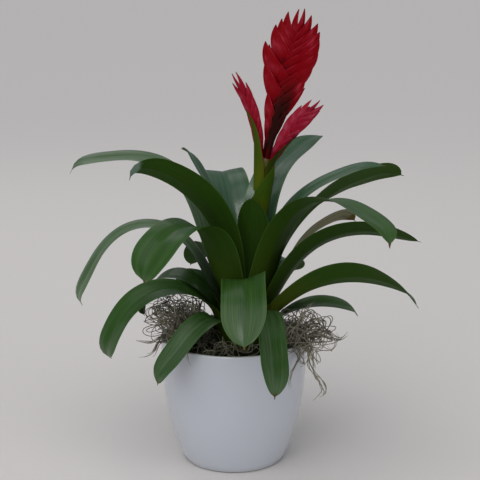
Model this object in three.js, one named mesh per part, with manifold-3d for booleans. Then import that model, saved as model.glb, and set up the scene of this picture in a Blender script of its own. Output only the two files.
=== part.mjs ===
// A potted bromeliad: a rosette of strap leaves round one flowering stem with three red spikes,
// in a nursery pot inside a round white pot, with dry curled moss over the rim.
// Millimetres, +Z up. The origin is the centre of the flat underside of the white pot.
// The front of the plant looks along -Y, and +X is on the right as seen from the front.
import * as THREE from "three";
import { mergeVertices } from "three/addons/utils/BufferGeometryUtils.js";
import Module from "manifold-3d";

const wasm = await Module();
wasm.setup();

// ---------------------------------------------------------------- driving dimensions

const CLEARANCE = 0.35; // between pieces that touch on the real plant

// White pot: outer profile as [radius, height], with the wall inside it
const POT_HEIGHT = 125;
const POT_WALL = 3.5;
const POT_FLOOR = 6;
const POT_SIDES = 36;
const POT_RADIUS = 72;
const POT_OUTSIDE = [
  [48.5, 0], [50.3, 1.2], [55.5, 13], [61, 30], [65.6, 48], [69.3, 72], [71.4, 98],
  [POT_RADIUS, POT_HEIGHT - 1.2],
];
const POT_BEAD = 0.3; // rounding of the rim

// Nursery pot: thin, tapered, with a rolled lip just inside the white rim
const NURSERY = {
  footRadius: 45, topRadius: 64, lipRadius: 67.4, lipHeight: 4.5, lipRound: 0.8, top: 119, wall: 1,
  sides: 32, drains: 4, drainRadius: 4, drainRing: 26, drainSides: 10,
};
const NURSERY_FOOT = POT_FLOOR + CLEARANCE;

// Soil: an uneven top with a plain hole for the base of the plant
const SOIL = { top: 116.5, fall: 1.5, bump: 0.9, rings: [55, 46, 36, 26], sides: 32, holeGap: 0.4 };

// The plant leans to the right about the middle of its crown
const LEAN = THREE.MathUtils.degToRad(7.5);
const CROWN = new THREE.Vector3(7, 0, 122);

// Base of the stem: a cone of ledges that the leaves stand on, whorl inside whorl
const LEDGE_TOP = 18; // height of a ledge at the axis, above the crown
const LEDGE_SLOPE = 0.9; // fall of the ledges for each millimetre of radius
const LEDGE_GAP = 1; // from a leaf's foot line down to the cone
const STEM_BASE = {
  innerRadius: 6.4, outerRadius: 30, skirt: 14, rootRadius: 13, rootDepth: 46, sides: 28,
};

// Flowering stem
const SCAPE = {
  footRadius: 5.9, neckRadius: 6.4, headRadius: 8.1, headHeight: 3, flare: 24, top: 176.6, sides: 14,
};

// Leaf law: every leaf starts as a sheath wrapped round the axis and opens into a shallow channel
const SHEATH_PITCH = 88; // degrees above level on the innermost ring
const SHEATH_SPREAD = 1.1; // degrees lost for each millimetre of ring radius past INNER_RING
const INNER_RING = 7;
const SHEATH_TO_BLADE = [14, 42]; // lengths along the leaf over which the blade's pitch takes over
const SHEATH_OPENS = [18, 70]; // lengths along the leaf over which the wrap opens
const CHANNEL = 0.42; // half angle of the open channel, radians
const WIDEST_WRAP = 1.45; // half angle of the tightest wrap, radians
const FOOT_WIDTH = 0.6; // width of the sheath as a share of the blade's
const SHOULDER = 0.72; // where the blade starts to taper to its tip
const LEAF_THICKNESS = 1.1;
const TIP_HALF_WIDTH = 0.8;
const TIP_THINNING = 0.3; // share of the thickness lost at the tip
const STATION_PITCH = 19; // spacing of the sections along a leaf

// The leaves from the centre outwards, one row each, as LEAF_COLUMNS names them. azimuth: degrees
// from +X towards +Y, with 270 at the front; sweep: how far the heading turns; ring: radius of the
// foot; rise and fall: pitch of the first and last part of the blade, which passes from one to the
// other between the shares bendFrom and bendTo of the length; roll: twist about the midrib; hook:
// extra bend of the last sixth.
const LEAF_COLUMNS = [
  "azimuth", "sweep", "ring", "length", "width", "rise", "fall", "bendFrom", "bendTo", "roll", "hook",
];
const LEAVES = [
  [250, -5, 7.2, 135, 33, 90, 73, 0.35, 1, 0, -5], // short, upright, in front of the stem
  [82, -25, 7.15, 270, 35, 90, 19, 0.3, 0.7, -5, -20], // behind the spikes, up to the right
  [142, -20, 9.2, 215, 27, 77, 33, 0.2, 0.7, 30, -35], // upper left, narrow, upright
  [208, -5, 10.8, 220, 35.5, 79, 4, 0.15, 1.1, 35, -35], // left, rising, pale channel seen
  [311.3, -5.6, 12.25, 280, 33.3, 79.8, -12.8, 0.21, 0.87, -2.7, -10.3], // right, long arch over the front
  [115, -20, 12.35, 260, 40.5, 67, -34, 0.25, 1, -10, -10], // back left, broad, folding backwards
  [219.3, 12, 13.95, 216, 47, 66, -48.8, 0.34, 0.9, 4.5, -24.5], // left, broad, drooping to the front
  [17.5, -30, 14, 235, 27, 90, 32, 0.25, 0.85, 10, -25], // upper right, rising
  [148, 30, 15.3, 280, 34, 60, -13, 0.4, 0.85, -10, -10], // far left, the longest arch
  [19, 10, 15.5, 250, 35, 85, 14, 0.1, 0.95, -45, -25], // right, just below the upper one
  [262, 15, 15.9, 200, 42, 71, -45, 0, 1, 25, -5], // front, broad, drooping over the pot
  [85, 0, 17.5, 190, 34, 77, -7, 0.1, 0.9, 0, 10], // back
  [333, 20, 17.5, 215, 37, 73, -12, 0.2, 1.05, -30, 5], // right, rising then level
  [166, 30, 17.7, 250, 31, 55, -68, 0.25, 0.85, -5, -5], // far left, thin low arch
  [115, -10, 19, 175, 34, 77, -44, 0.1, 0.9, 0, 0], // back left
  [26, 5, 19.7, 175, 31, 86, 4, 0.05, 1.2, -45, -45], // right, behind, brownish
  [324, -25, 20.5, 230, 40, 55, -3, 0, 1, -35, -25], // right, long low arch
  [168, -15, 20.5, 145, 32, 60, -85, 0.2, 1, -10, -10], // left, low, behind the next one
  [58, 10, 21, 170, 34, 79, -32, 0.15, 0.9, 0, 0], // back right
  [195, 0, 22, 180, 37, 55, -74, 0, 0.93, -15, -10], // lower left arch
  [96, -5, 22.5, 160, 34, 77, -48, 0.1, 0.9, 0, 0], // back, low
  [347, 30, 23, 115, 26, 55, -29, 0, 1.15, 10, -30], // right, low, narrow
  [281, 5, 23.5, 170, 35, 70, -47, 0.05, 0.75, -25, -25], // front right, hanging over the rim
  [130, -10, 24.5, 130, 32, 77, -51, 0.1, 0.9, 0, 0], // back left, low
  [232, -15, 25, 130, 34, 50, -48, 0, 0.65, 5, -40], // front left, hanging over the rim
];

// ---------------------------------------------------------------- small helpers

const radians = THREE.MathUtils.degToRad;

/** Smooth step from 0 at a to 1 at b. */
function ease(a, b, x) {
  const t = THREE.MathUtils.clamp((x - a) / (b - a), 0, 1);
  return t * t * (3 - 2 * t);
}

const mix = THREE.MathUtils.lerp;

/** Unit vector at a heading in the XY plane and a pitch above it, both in degrees. */
function direction(heading, pitch) {
  const h = radians(heading);
  const p = radians(pitch);
  return new THREE.Vector3(Math.cos(p) * Math.cos(h), Math.cos(p) * Math.sin(h), Math.sin(p));
}

/** Indexed geometry with shared corners and no collapsed triangles. */
function weld(geometry) {
  const plain = new THREE.BufferGeometry();
  plain.setAttribute("position", geometry.getAttribute("position").clone());
  plain.setIndex(geometry.getIndex());
  const merged = mergeVertices(plain, 1e-4);
  const index = merged.getIndex().array;
  const kept = [];
  for (let i = 0; i < index.length; i += 3) {
    const [a, b, c] = [index[i], index[i + 1], index[i + 2]];
    if (a !== b && b !== c && c !== a) kept.push(a, b, c);
  }
  merged.setIndex(kept);
  return merged;
}

/** Solid that can be joined and cut, from a closed geometry. */
function toSolid(geometry) {
  const welded = weld(geometry);
  return new wasm.Manifold(new wasm.Mesh({
    numProp: 3,
    vertProperties: new Float32Array(welded.getAttribute("position").array),
    triVerts: new Uint32Array(welded.getIndex().array),
  }));
}

/** Geometry of a joined or cut solid. */
function toGeometry(solid) {
  const mesh = solid.getMesh();
  const geometry = new THREE.BufferGeometry();
  const corners = [];
  for (let i = 0; i < mesh.vertProperties.length; i += mesh.numProp) {
    corners.push(mesh.vertProperties[i], mesh.vertProperties[i + 1], mesh.vertProperties[i + 2]);
  }
  geometry.setAttribute("position", new THREE.Float32BufferAttribute(corners, 3));
  geometry.setIndex([...mesh.triVerts]);
  return geometry;
}

/** All solids joined into one. */
function join(solids) {
  return solids.reduce((whole, piece) => whole.add(piece));
}

/** The largest of the loose bodies of a solid. */
function largestBody(solid) {
  return solid.decompose().reduce((best, body) => (body.volume() > best.volume() ? body : best));
}

/** Body of revolution about Z from a closed [radius, height] profile, listed upwards on the outside. */
function lathe(profile, sides) {
  const points = profile.map(([radius, height]) => new THREE.Vector2(radius, height));
  return new THREE.LatheGeometry(points, sides).rotateX(Math.PI / 2);
}

/** Closed skin over sections of equal point count, each an upper row followed by the lower row back. */
function skin(sections) {
  const count = sections[0].length;
  const corners = sections.flat().flatMap((point) => point.toArray());
  const faces = [];
  for (let s = 0; s + 1 < sections.length; s += 1) {
    for (let i = 0; i < count; i += 1) {
      const a = s * count + i;
      const b = s * count + ((i + 1) % count);
      faces.push(a, a + count, b + count, a, b + count, b);
    }
  }
  for (let i = 0; i + 1 < count / 2; i += 1) {
    const far = count - 1 - i;
    const end = (sections.length - 1) * count;
    faces.push(i, far - 1, far, i, i + 1, far - 1);
    faces.push(end + i, end + far, end + far - 1, end + i, end + far - 1, end + i + 1);
  }
  const geometry = new THREE.BufferGeometry();
  geometry.setAttribute("position", new THREE.Float32BufferAttribute(corners, 3));
  geometry.setIndex(faces);
  return geometry;
}

// ---------------------------------------------------------------- pots, soil and stem base

/** White pot: the outer profile, then the wall's inner side down to the floor. */
function whitePot() {
  const inside = POT_OUTSIDE
    .filter(([, height], i) => height > POT_FLOOR && i % 2 === 1)
    .map(([radius, height]) => [radius - POT_WALL, height])
    .reverse();
  const rim = [
    [POT_RADIUS - 0.5, POT_HEIGHT - POT_BEAD],
    [POT_RADIUS - POT_WALL / 2, POT_HEIGHT],
    [POT_RADIUS - POT_WALL + 0.5, POT_HEIGHT - POT_BEAD],
  ];
  const floor = [[NURSERY.footRadius + 2.2, POT_FLOOR], [0, POT_FLOOR]];
  return lathe([[0, 0], ...POT_OUTSIDE, ...rim, ...inside, ...floor], POT_SIDES);
}

/** Radius of the nursery pot's inner side at a height. */
function nurseryInside(height) {
  const share = (height - NURSERY_FOOT) / (NURSERY.top - NURSERY_FOOT);
  return mix(NURSERY.footRadius, NURSERY.topRadius, share) - NURSERY.wall;
}

/** Nursery pot: a tapered cup with a lip, and drain holes through its floor. */
function nurseryPot() {
  const { footRadius, topRadius, lipRadius, lipHeight, lipRound, top, wall, sides } = NURSERY;
  const { drains, drainRadius, drainRing, drainSides } = NURSERY;
  const floor = NURSERY_FOOT + wall;
  const cup = lathe([
    [0, NURSERY_FOOT], [footRadius, NURSERY_FOOT], [topRadius - lipRound, top - lipHeight],
    [lipRadius - lipRound, top - lipHeight], [lipRadius, top - lipHeight + lipRound],
    [lipRadius, top - lipRound], [lipRadius - lipRound, top], [topRadius - wall, top],
    [nurseryInside(floor), floor], [0, floor],
  ], sides);
  const drills = Array.from({ length: drains }, (_, i) => {
    const spoke = direction((i + 0.5) * (360 / drains), 0).multiplyScalar(drainRing);
    const drill = new THREE.CylinderGeometry(drainRadius, drainRadius, 6 * wall, drainSides);
    return toSolid(drill.rotateX(Math.PI / 2).translate(spoke.x, spoke.y, NURSERY_FOOT));
  });
  return toGeometry(drills.reduce((body, drill) => body.subtract(drill), toSolid(cup)));
}

/** Soil: fills the nursery pot to just under its lip, with an uneven top that falls to the edge. */
function soilBody() {
  const floor = NURSERY_FOOT + NURSERY.wall + CLEARANCE;
  const edge = nurseryInside(SOIL.top - SOIL.fall - SOIL.bump) - CLEARANCE;
  const foot = nurseryInside(floor) - CLEARANCE;
  const rings = [edge, ...SOIL.rings, 0].map((radius) => [radius, SOIL.top]);
  const geometry = weld(lathe([[0, floor], [foot, floor], ...rings], SOIL.sides));
  const position = geometry.getAttribute("position");
  for (let i = 0; i < position.count; i += 1) {
    const radius = Math.hypot(position.getX(i), position.getY(i));
    const angle = Math.atan2(position.getY(i), position.getX(i));
    const ripple = Math.sin(3 * angle + radius / 7) + Math.sin(5 * angle - radius / 4);
    const drop = SOIL.fall * (radius / edge) ** 2 - (SOIL.bump / 2) * (radius > 0 ? ripple : 0);
    if (position.getZ(i) > floor) position.setZ(i, position.getZ(i) - drop);
  }
  return geometry;
}

/** Height, above the crown, of the cone of the stem base at a radius. */
const coneHeight = (radius) => LEDGE_TOP - LEDGE_GAP - LEDGE_SLOPE * radius;

/** Base of the stem, larger all round by a gap where it cuts its hole in the soil. */
function stemBase(gap = 0) {
  const { innerRadius, outerRadius, skirt, rootRadius, rootDepth, sides } = STEM_BASE;
  return lathe([
    [0, -rootDepth - gap], [rootRadius + gap, -rootDepth - gap],
    [outerRadius + gap, coneHeight(outerRadius) - skirt],
    [outerRadius + gap, coneHeight(outerRadius) + gap],
    [innerRadius, coneHeight(innerRadius) + gap], [0, coneHeight(innerRadius) + gap],
  ], sides);
}

/** Frame of the plant: its lean about the middle of the crown. */
const PLANT = new THREE.Matrix4().makeRotationY(LEAN).setPosition(CROWN);

/** Soil with a plain hole for the base of the stem, open to the top. */
function soilWithHole() {
  const radius = STEM_BASE.outerRadius + SOIL.holeGap;
  const low = coneHeight(STEM_BASE.outerRadius) - 1;
  const shaft = lathe([[0, low], [radius, low], [radius, LEDGE_TOP], [0, LEDGE_TOP]], STEM_BASE.sides);
  const cuts = [stemBase(SOIL.holeGap), shaft].map((cut) => toSolid(cut.applyMatrix4(PLANT)));
  return toGeometry(cuts.reduce((soil, cut) => soil.subtract(cut), toSolid(soilBody())));
}

// ---------------------------------------------------------------- leaves and bracts

/** A row of the leaf table by name, with the law that all leaves share. */
function leafShape(row) {
  const leaf = Object.fromEntries(LEAF_COLUMNS.map((name, i) => [name, row[i]]));
  return {
    ...leaf,
    foot: LEDGE_TOP - LEDGE_SLOPE * leaf.ring,
    start: SHEATH_PITCH - SHEATH_SPREAD * (leaf.ring - INNER_RING),
    takeover: SHEATH_TO_BLADE,
    opens: SHEATH_OPENS,
    channel: CHANNEL,
    footWidth: FOOT_WIDTH,
    shoulder: SHOULDER,
    thickness: LEAF_THICKNESS,
  };
}

/** Half the blade's width at a share u of its length. */
function halfWidth(shape, u) {
  const body = mix(shape.footWidth, 1, ease(0, 0.5, u));
  const taper = THREE.MathUtils.clamp((u - shape.shoulder) / (1 - shape.shoulder), 0, 1);
  return Math.max(TIP_HALF_WIDTH, 0.5 * shape.width * body * (1 - taper ** 2.2) ** 0.75);
}

/** Pitch of the midrib, in degrees, at a share u of its length. */
function pitchAt(shape, u) {
  const blade = mix(shape.rise, shape.fall, ease(shape.bendFrom, shape.bendTo, u));
  const hooked = blade + shape.hook * ease(0.84, 1, u);
  return mix(shape.start, hooked, ease(...shape.takeover, u * shape.length));
}

/** Half angle of the section: wrapped round the axis at the foot, a shallow channel further out. */
function wrapAt(shape, u, half, reach) {
  const wrapped = Math.min(half / reach, WIDEST_WRAP);
  const open = shape.channel * (1 - 0.5 * ease(0.55, 1, u));
  return mix(wrapped, open, ease(...shape.opens, u * shape.length));
}

const ACROSS = [-1, -0.5, 0, 0.5, 1];

/** One section of a blade: its upper row of corners, then its lower row back. */
function bladeSection(shape, u, centre, tangent, heading, swell) {
  const level = direction(heading + 90, 0);
  const twist = radians(shape.roll * ease(0.12, 0.7, u));
  const side = level.clone().multiplyScalar(Math.cos(twist));
  side.addScaledVector(tangent.clone().cross(level), Math.sin(twist));
  const normal = tangent.clone().cross(side);
  const half = halfWidth(shape, u);
  const wrap = wrapAt(shape, u, half, Math.hypot(centre.x, centre.y));
  const radius = half / wrap;
  const depth = (shape.thickness / 2) * (1 - TIP_THINNING * u) + swell;
  const upper = [];
  const lower = [];
  for (const v of ACROSS) {
    const angle = wrap * v * (1 + swell / half);
    const inward = normal.clone().multiplyScalar(Math.cos(angle)).addScaledVector(side, -Math.sin(angle));
    const middle = centre.clone().addScaledVector(normal, radius).addScaledVector(inward, -radius);
    upper.push(middle.clone().addScaledVector(inward, depth));
    lower.unshift(middle.clone().addScaledVector(inward, -depth));
  }
  return [...upper, ...lower];
}

/** Blade along its bending midrib, thicker all round by swell where it clears other pieces. */
function blade(shape, swell = 0) {
  const count = Math.round(shape.length / STATION_PITCH) + 4;
  const substeps = 4;
  const step = shape.length / ((count - 1) * substeps);
  const centre = direction(shape.azimuth, 0).multiplyScalar(shape.ring).setZ(shape.foot);
  const sections = [];
  let before = null;
  for (let i = 0; i <= (count - 1) * substeps; i += 1) {
    const u = i / ((count - 1) * substeps);
    const heading = shape.azimuth + shape.sweep * ease(0.1, 1, u);
    const tangent = direction(heading, pitchAt(shape, u));
    if (before) centre.addScaledVector(tangent.clone().add(before), step / 2);
    before = tangent;
    if (i % substeps === 0) sections.push(bladeSection(shape, u, centre, tangent, heading, swell));
  }
  return skin(sections);
}

// Bracts of the flowering stem, with the same law of their own: a clasping boat with a short point
const BRACTS = {
  scape_bract: {
    azimuth: 300, sweep: 16, ring: 7.7, foot: 122, length: 54, width: 26, start: 84, rise: 83, fall: 80,
    bendFrom: 0.4, bendTo: 1, roll: 0, hook: 0, takeover: [4, 12], opens: [40, 90], channel: 0.9,
    footWidth: 0.95, shoulder: 0.25, thickness: 1,
  },
  primary_bract_left: {
    azimuth: 182, sweep: 0, ring: 8.3, foot: 148, length: 84, width: 26, start: 87, rise: 80, fall: 57,
    bendFrom: 0.4, bendTo: 1, roll: 0, hook: 0, takeover: [4, 12], opens: [30, 70], channel: 1.1,
    footWidth: 0.95, shoulder: 0.3, thickness: 1,
  },
  primary_bract_right: {
    azimuth: 353.5, sweep: 0, ring: 8.1, foot: 146, length: 66, width: 22, start: 88, rise: 85, fall: 52,
    bendFrom: 0.3, bendTo: 0.7, roll: 0, hook: 0, takeover: [4, 12], opens: [26, 60], channel: 1.1,
    footWidth: 1, shoulder: 0.35, thickness: 1,
  },
};

// ---------------------------------------------------------------- flowering stem and spikes

/** Flowering stem: a slim rod that swells under the three spikes. */
function scape() {
  const { footRadius, neckRadius, headRadius, headHeight, flare, top, sides } = SCAPE;
  const foot = coneHeight(STEM_BASE.innerRadius) + CLEARANCE;
  return lathe([
    [0, foot], [footRadius, foot], [neckRadius, top - flare], [headRadius, top - headHeight],
    [headRadius, top], [0, top],
  ], sides);
}

// Spikes: origin and lean in the plant's frame, in its left-right plane. bow: how far the axis bends
// to the right at mid length; freeTip: how much of a bract stands free; bracts, one row each: the tip
// along the axis, the tip to its right, the bulge of the keel
const SPIKE_FOOT = SCAPE.top + CLEARANCE;
const SPIKE_ROOT = 2; // how far a stalk starts below its seat, before it is cut level there
const SPIKES = {
  main_spike: {
    across: 0, lean: 5.5, length: 148, bow: 0, bractLength: 46, halfDepth: 3.8, stalkRadius: 3.6,
    coreWidth: 5, coreStart: 12, freeTip: 0.32,
    bracts: [
      [46, 6.5, 7], [54, -9, -10], [59, 9.5, 11], [66, -12.5, -13],
      [76, 20.5, 16], [85, 18.5, 18], [92, -21.5, -19], [96, 15, 17], [103, 22, 22], [110, -26, -24],
      [108, -22, -18], [113, 24, 24], [122, 23, 24], [127, -20, -22], [129.5, 21.5, 22],
      [133.5, -16, -18], [136.5, 18, 19], [141, -11.5, -15], [142.5, 10.5, 14], [145.5, -2.5, -8],
      [147, 3, 8],
    ],
  },
  left_spike: {
    across: -5.7, lean: -24.5, length: 87, bow: 6, bractLength: 38, halfDepth: 2.7, stalkRadius: 2.2,
    coreWidth: 3, coreStart: 8, freeTip: 0.26,
    bracts: [
      [30, 4, 5], [36, -4.5, -5.5], [37, 5, 6], [46, 5.5, 6], [47, -5, -5.5], [56, -4.5, -5],
      [57, 6, 7], [64, 6, 7], [66, -5, -6], [75, 6.5, 7], [78, -5.5, -6], [86.5, -1.5, -4], [87, 3, 5],
    ],
  },
  right_spike: {
    across: 6.6, lean: 29, length: 75, bow: -3.5, bractLength: 38, halfDepth: 2.6, stalkRadius: 2.2,
    coreWidth: 3, coreStart: 10, freeTip: 0.28,
    bracts: [
      [29, 3, 5.5], [38, -7, -8], [39, 6.5, 7], [46, 8, 8], [50, -8.5, -9], [58, 9.5, 10],
      [60, -7.5, -9], [66, 9, 10], [69.5, -4.5, -7], [72.5, 7.5, 9], [74, 2, 5],
    ],
  },
};

/** Point of a Bezier curve in the spike's plane, from its control points. */
function bezier(points, t) {
  if (points.length === 1) return points[0];
  return bezier(points.slice(1).map((point, i) => point.map((value, k) => mix(points[i][k], value, t))), t);
}

const BRACT_EDGE = 0.45; // half thickness of a folded bract at its keel and its tip
const BRACT_STATIONS = [0, 0.3, 0.6, 0.85, 1];
const BRACT_FLANK = 0.72; // how full the flank is half way from the keel to the margin
const BRACT_FULLEST = 0.6; // where along a bract its flanks stand furthest out
const BRACT_FOOT = 0.4; // their depth at the root, as a share of the fullest
const BRACT_WAIST = 0.55; // height of the keel's widest bulge, as a share of the bract
const KEEL_BULGE = 1.3; // reach of the keel's control point, as a share of the bulge
const MARGIN_CROSSING = [0.3, 0.55]; // how far the margin crosses the axis low down and higher up

/** A folded bract: a sharp keel outside, flanks whose margins cross the axis, a pointed tip. */
function foldedBract([along, side, bulge], { bractLength, halfDepth, freeTip }) {
  const hand = Math.sign(side);
  const root = along - bractLength;
  const keel = [[0, root], [KEEL_BULGE * bulge, root + BRACT_WAIST * bractLength], [side, along]];
  const margin = [
    [-MARGIN_CROSSING[0] * bulge, root + 0.25 * bractLength],
    [-MARGIN_CROSSING[1] * bulge, along - 2.1 * freeTip * bractLength],
    [0.5 * side, along - freeTip * bractLength],
    [side - 0.6 * hand, along - 0.4],
  ];
  return skin(BRACT_STATIONS.map((t) => {
    const [kx, kz] = bezier(keel, t);
    const [mx, mz] = bezier(margin, t);
    const open = mix(BRACT_FOOT, 1, ease(0, BRACT_FULLEST, t)) * (1 - ease(BRACT_FULLEST, 1, t));
    const swell = Math.max(BRACT_EDGE, halfDepth * open);
    const row = [
      [kx, BRACT_EDGE, kz],
      [mix(kx, mx, 0.5), mix(BRACT_EDGE, swell, BRACT_FLANK), mix(kz, mz, 0.5)],
      [mx, swell, mz],
    ];
    const upper = row.map(([x, y, z]) => new THREE.Vector3(x, -hand * y, z));
    const lower = row.map(([x, y, z]) => new THREE.Vector3(x, hand * y, z)).reverse();
    return [...upper, ...lower];
  }));
}

/** Axis of a spike: a stalk that widens into a flat core inside the bracts. */
function spikeAxis(spike) {
  const stations = [
    [-SPIKE_ROOT, spike.stalkRadius, spike.stalkRadius],
    [spike.coreStart, spike.stalkRadius, spike.stalkRadius],
    [spike.length * 0.4, spike.coreWidth, spike.halfDepth * 0.6],
    [spike.length * 0.85, spike.coreWidth * 0.6, spike.halfDepth * 0.4],
  ];
  const angles = [157.5, 112.5, 67.5, 22.5].map(radians);
  return skin(stations.map(([z, wide, deep]) => {
    const upper = angles.map((a) => new THREE.Vector3(wide * Math.cos(a), deep * Math.sin(a), z));
    const lower = upper.map((p) => new THREE.Vector3(p.x, -p.y, z)).reverse();
    return [...upper, ...lower];
  }));
}

/** Bends a spike's geometry along its bowed axis and leans it over its place on the flowering stem. */
function placeSpike(geometry, spike) {
  const position = geometry.getAttribute("position");
  for (let i = 0; i < position.count; i += 1) {
    const share = THREE.MathUtils.clamp(position.getZ(i) / spike.length, 0, 1);
    position.setX(i, position.getX(i) + spike.bow * Math.sin(Math.PI * share));
  }
  return geometry.rotateY(radians(spike.lean)).translate(spike.across, 0, SPIKE_FOOT);
}

/** One spike: its folded bracts fused to its axis, cut level where it stands on the stem. */
function spikeBody(spike) {
  const pieces = [spikeAxis(spike), ...spike.bracts.map((bract) => foldedBract(bract, spike))];
  const seat = [[0, SPIKE_FOOT - SCAPE.flare], [2 * SCAPE.headRadius, SPIKE_FOOT - SCAPE.flare]];
  const top = [[2 * SCAPE.headRadius, SPIKE_FOOT], [0, SPIKE_FOOT]];
  const body = toSolid(placeSpike(toGeometry(join(pieces.map(toSolid))), spike));
  return toGeometry(largestBody(body.subtract(toSolid(lathe([...seat, ...top], SCAPE.sides)))));
}

// ---------------------------------------------------------------- moss

// Dry curled moss in four clumps. core: centre of a lumpy core and its half sizes; drift: where the
// curls tend; curls: how many; trails: strands that hang or reach out, as points after the core
const MOSS = { radius: 0.85, steps: 8, loop: [4, 9], turns: [0.6, 1.4], tries: 60, lump: 0.22 };
const CLUMPS = {
  moss_left: {
    seed: 11, core: [-50, -14, 129], size: [13, 12, 16], drift: [-10, -4, 10], curls: 9,
    trails: [
      [[-62, -18, 130], [-72, -24, 128.5], [-82, -25, 124], [-96, -25, 127]],
      [[-62, -26, 129], [-71, -30, 128], [-78, -33, 117], [-89, -35, 116], [-101, -35, 121]],
    ],
  },
  moss_right: {
    seed: 23, core: [59, -28, 131], size: [13, 12, 13], drift: [12, -4, 4], curls: 9,
    trails: [
      [[64, -40, 130], [71, -43, 124], [74, -42, 106], [83, -40, 88], [86, -38, 76], [78, -38, 68]],
      [[60, -44, 129], [63, -49, 121], [55, -56, 107], [51, -58, 96], [53, -58, 84]],
      [[72, -34, 132], [86, -42, 138], [99, -45, 134], [111, -45, 142]],
    ],
  },
  moss_front: { seed: 5, core: [2, -44, 119.5], size: [22, 9, 4], drift: [0, -3, 4], curls: 7, trails: [] },
  moss_back: { seed: 8, core: [10, 50, 121], size: [24, 8, 6], drift: [0, 3, 5], curls: 6, trails: [] },
};

/** Repeatable random numbers from 0 to 1. */
function randomFrom(seed) {
  let state = seed;
  return () => {
    state = (state * 1664525 + 1013904223) % 4294967296;
    return state / 4294967296;
  };
}

/** Strand of moss: a thin square tube along a path. */
function strand(points, steps) {
  const r = MOSS.radius;
  const corners = [[r, 0], [0, r], [-r, 0], [0, -r]].map(([x, y]) => new THREE.Vector2(x, y));
  const section = new THREE.Shape(corners);
  const extrudePath = new THREE.CatmullRomCurve3(points);
  return new THREE.ExtrudeGeometry(section, { steps, extrudePath, bevelEnabled: false });
}

/** Curl that leaves a point, turns round a slanted axis and drifts away. */
function curlPoints(start, drift, random) {
  const axis = direction(360 * random(), mix(-60, 60, random()));
  const across = axis.clone().cross(direction(360 * random(), 0)).normalize();
  const up = axis.clone().cross(across);
  const loop = mix(...MOSS.loop, random());
  const turns = mix(...MOSS.turns, random());
  return Array.from({ length: 9 }, (_, i) => {
    const angle = 2 * Math.PI * turns * (i / 8);
    const point = start.clone().addScaledVector(drift, (i / 8) * mix(0.7, 1.5, random()));
    point.addScaledVector(across, loop * (1 - Math.cos(angle)));
    return point.addScaledVector(up, loop * Math.sin(angle));
  });
}

/** Lumpy core of a clump. */
function mossCore({ core, size }, random) {
  const geometry = weld(new THREE.IcosahedronGeometry(1, 1));
  const position = geometry.getAttribute("position");
  for (let i = 0; i < position.count; i += 1) {
    const scale = 1 + MOSS.lump * (2 * random() - 1);
    position.setXYZ(i, ...[0, 1, 2].map((k) => core[k] + size[k] * scale * position.getComponent(i, k)));
  }
  return geometry;
}

/** One clump: its core, cut clear of its neighbours, and the strands that run clear of them. */
function mossClump(clump, keepOut) {
  const random = randomFrom(clump.seed);
  const core = new THREE.Vector3(...clump.core);
  const drift = new THREE.Vector3(...clump.drift);
  const clear = (solid) => solid.intersect(keepOut).volume() < 1e-6;
  let body = largestBody(toSolid(mossCore(clump, random)).subtract(keepOut));
  for (const trail of clump.trails) {
    const points = [core, ...trail.map((point) => new THREE.Vector3(...point))];
    body = largestBody(body.add(toSolid(strand(points, 2 * points.length + 1)).subtract(keepOut)));
  }
  let grown = 0;
  for (let i = 0; i < MOSS.tries && grown < clump.curls; i += 1) {
    const offset = new THREE.Vector3(...clump.size.map((half) => half * (1.2 * random() - 0.6)));
    const curl = toSolid(strand(curlPoints(core.clone().add(offset), drift, random), MOSS.steps));
    const joined = clear(curl) ? body.add(curl) : body;
    if (joined === body || joined.decompose().length > 1) continue;
    body = joined;
    grown += 1;
  }
  return body;
}

/** All that the moss stays clear of by the clearance, joined into one solid. */
function mossKeepOut() {
  const gap = CLEARANCE;
  const rim = POT_HEIGHT + gap;
  const lip = NURSERY.top + gap;
  const deep = SOIL.top - NURSERY.lipHeight; // well inside the soil, which the next solid covers
  const outer = POT_OUTSIDE.map(([radius, height]) => [radius + gap, height]);
  const bore = POT_RADIUS - POT_WALL - gap;
  const bowl = lathe([
    [0, 0], ...outer, [POT_RADIUS + gap, rim], [bore, rim], [bore, lip],
    [nurseryInside(NURSERY.top) - 2 * gap, lip], [nurseryInside(deep) - 2 * gap, deep], [0, deep],
  ], POT_SIDES);
  const onPlant = [
    stemBase(gap), scape(), ...LEAVES.map((row) => blade(leafShape(row), gap)),
  ].map((geometry) => geometry.applyMatrix4(PLANT));
  return join([bowl, soilBody().translate(0, 0, gap), ...onPlant].map(toSolid));
}

// ---------------------------------------------------------------- assembly

/** Named mesh with a plain finish. */
function meshOf(name, geometry, color, roughness) {
  const material = new THREE.MeshStandardMaterial({ color, roughness, metalness: 0 });
  const mesh = new THREE.Mesh(geometry, material);
  mesh.name = name;
  return mesh;
}

const bromeliad = new THREE.Group();
bromeliad.add(meshOf("pot", whitePot(), "#e4e6e6", 0.15));
bromeliad.add(meshOf("nursery_pot", nurseryPot(), "#2b2b2b", 0.5));
bromeliad.add(meshOf("soil", soilWithHole(), "#2c2822", 0.95));

const plant = new THREE.Group();
plant.applyMatrix4(PLANT);
plant.add(meshOf("stem_base", stemBase(), "#5a5a2c", 0.7));
plant.add(meshOf("scape", scape(), "#6f7a22", 0.5));
LEAVES.forEach((row, i) => {
  const name = `leaf_${String(i + 1).padStart(2, "0")}`;
  plant.add(meshOf(name, blade(leafShape(row)), "#3f6426", 0.4));
});
Object.entries(BRACTS).forEach(([name, shape]) => {
  plant.add(meshOf(name, blade(shape), "#7c8a2a", 0.45));
});
Object.entries(SPIKES).forEach(([name, spike]) => {
  plant.add(meshOf(name, spikeBody(spike), "#a30f24", 0.3));
});
bromeliad.add(plant);

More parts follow.
